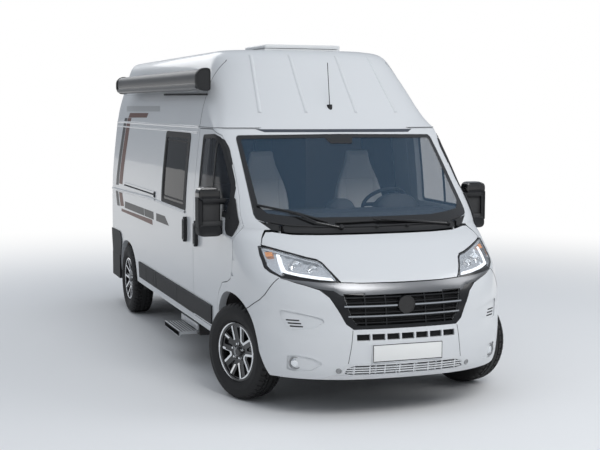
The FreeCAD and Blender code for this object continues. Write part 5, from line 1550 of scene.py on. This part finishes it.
rear_window = metres((170, 1270), (700, 1270), (700, 1830), (170, 1830))
for label, side in (("right", -1), ("left", 1)):
    body = "rear_door_" + label
    outer = softened(sided(side, inset(rear_window, -0.030)), 0.070, 5)
    inner = softened(sided(side, inset(rear_window, 0.022)), 0.045, 5)
    rows = ring_rows(near_back, outer, inner, 0.03, 2, 0.0016)
    strip("rear_window_frame_" + label, rows, body, gloss_black, thick=0.0024)
    panel = sided(side, metres((110, 700), (720, 700), (720, 1150), (110, 1150)))
    outer, inner = softened(panel, 0.06, 5), softened(inset(panel, 0.012), 0.05, 5)
    rows = ring_rows(near_back, outer, inner, 0.03, 4, 0.0)
    for j, row in enumerate(rows):
        for point in row:
            point.y += 0.0035 * math.sin(math.pi * j / 4)
    strip("rear_panel_edge_" + label, rows, body, pale_paint, thick=0.0006)
block("rear_handle", place(-0.100, 5.957, 1.020), place(-0.040, 5.985, 1.200), "rear_door_right", black_plastic,
      bevel=0.010)
block("rear_lock_base", place(-0.118, 5.9555, 0.990), place(-0.024, 5.963, 1.230), "rear_door_right", gloss_black,
      bevel=0.003)
block("rear_plate_frame", place(0.135, 5.9555, 0.980), place(0.665, 5.961, 1.102), "rear_door_left", black_plastic,
      bevel=0.002)
block("rear_blank_plate", place(0.141, 5.959, 0.986), place(0.659, 5.9625, 1.096), "rear_door_left", blank_plate,
      bevel=0.001)
block("rear_plate_lamps", place(0.250, 5.9555, 1.120), place(0.550, 5.978, 1.150), "rear_door_left", black_plastic,
      bevel=0.008)
rows = between(near_back, [(-0.130, 2.318), (0.130, 2.318)], [(-0.120, 2.352), (0.120, 2.352)], 12, 3, 0.006)
strip("high_brake_lamp", rows, "body", tail_red, thick=0.010)
print("rear dressed")

# %% [markdown]
# ## Roof hatches and step
# The hatch lids are domed acrylic shells with a white rim. The step has a ribbed tread and a bright edge.

# %% Hatch lids
for name, body, half, front, rear in (("front", "hatch_lid_front", 0.235, 2.325, 2.795),
                                      ("rear", "hatch_lid_rear", 0.205, 4.645, 5.055)):
    box_low, box_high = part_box(body)
    low, top = box_low[2], box_high[2]
    front = max(front, box_low[1] + half_length)
    rear = min(rear, box_high[1] + half_length)
    middle_d = (front + rear) / 2
    rings = []
    for z, shrink, radius in ((low, 0.004, 0.05), (low + 0.006, 0.0, 0.05), (low + 0.012, 0.0, 0.05),
                              (low + 0.016, 0.018, 0.05),
                              (top - 0.008, 0.026, 0.06), (top - 0.002, 0.045, 0.06), (top, 0.080, 0.05)):
        span_d = (rear - front) / 2 - shrink
        outline = softened([(-half + shrink, middle_d - span_d), (half - shrink, middle_d - span_d),
                            (half - shrink, middle_d + span_d),
                            (-half + shrink, middle_d + span_d)], radius, 5)
        rings.append([place(x, d, z) for x, d in outline])
    loft("lid_dome_" + name, rings, body, hatch_white)

# %% Step
block("step_edge", place(-1.1120, 2.200, 0.2450), place(-1.1005, 2.750, 0.2915), "step", pale_silver,
      bevel=0.004)
block("step_riser", place(-0.9580, 2.190, 0.2930), place(-0.9395, 2.760, 0.3480), "body", pale_silver,
      bevel=0.004)
for number in range(5):
    x = -1.088 + 0.026 * number
    block(f"step_rib_{number + 1}", place(x, 2.215, 0.2846), place(x + 0.010, 2.735, 0.2870), "step", black_plastic,
          bevel=0.0010)
print("step dressed")

# %% Floor
pick_only()
bpy.ops.mesh.primitive_plane_add(size=400, location=(0, 0, -0.002))
floor = bpy.context.object
floor.name = "floor"
floor_finish = bpy.data.materials.new("pale_floor")
floor_finish.use_nodes = True
floor_tree = floor_finish.node_tree
floor_shader = floor_tree.nodes["Principled BSDF"]
floor_shader.inputs["Base Color"].default_value = (0.80, 0.80, 0.80, 1)
floor_shader.inputs["Roughness"].default_value = 0.9
floor_nodes, floor_link = floor_tree.nodes, floor_tree.links.new
spot = floor_nodes.new("ShaderNodeTexCoord")
reach = floor_nodes.new("ShaderNodeVectorMath")
reach.operation = "LENGTH"
floor_link(spot.outputs["Object"], reach.inputs[0])
fade = floor_nodes.new("ShaderNodeMapRange")
fade.interpolation_type = "SMOOTHSTEP"
fade.inputs["From Min"].default_value = 3.5
fade.inputs["From Max"].default_value = 11.0
floor_link(reach.outputs["Value"], fade.inputs["Value"])
seen_by = floor_nodes.new("ShaderNodeLightPath")


def floor_math(operation, first, second):
    node = floor_nodes.new("ShaderNodeMath")
    node.operation = operation
    floor_link(first, node.inputs[0])
    floor_link(second, node.inputs[1])
    return node.outputs[0]


seen_or_mirrored = floor_math("MAXIMUM", seen_by.outputs["Is Camera Ray"], seen_by.outputs["Is Glossy Ray"])
seen_at_all = floor_math("MAXIMUM", seen_or_mirrored, seen_by.outputs["Is Transmission Ray"])
white_share = floor_math("MULTIPLY", fade.outputs["Result"], seen_at_all)
white = floor_nodes.new("ShaderNodeEmission")
blend = floor_nodes.new("ShaderNodeMixShader")
floor_link(white_share, blend.inputs[0])
floor_link(floor_shader.outputs[0], blend.inputs[1])
floor_link(white.outputs[0], blend.inputs[2])
floor_link(blend.outputs[0], floor_nodes["Material Output"].inputs["Surface"])
floor.data.materials.append(floor_finish)
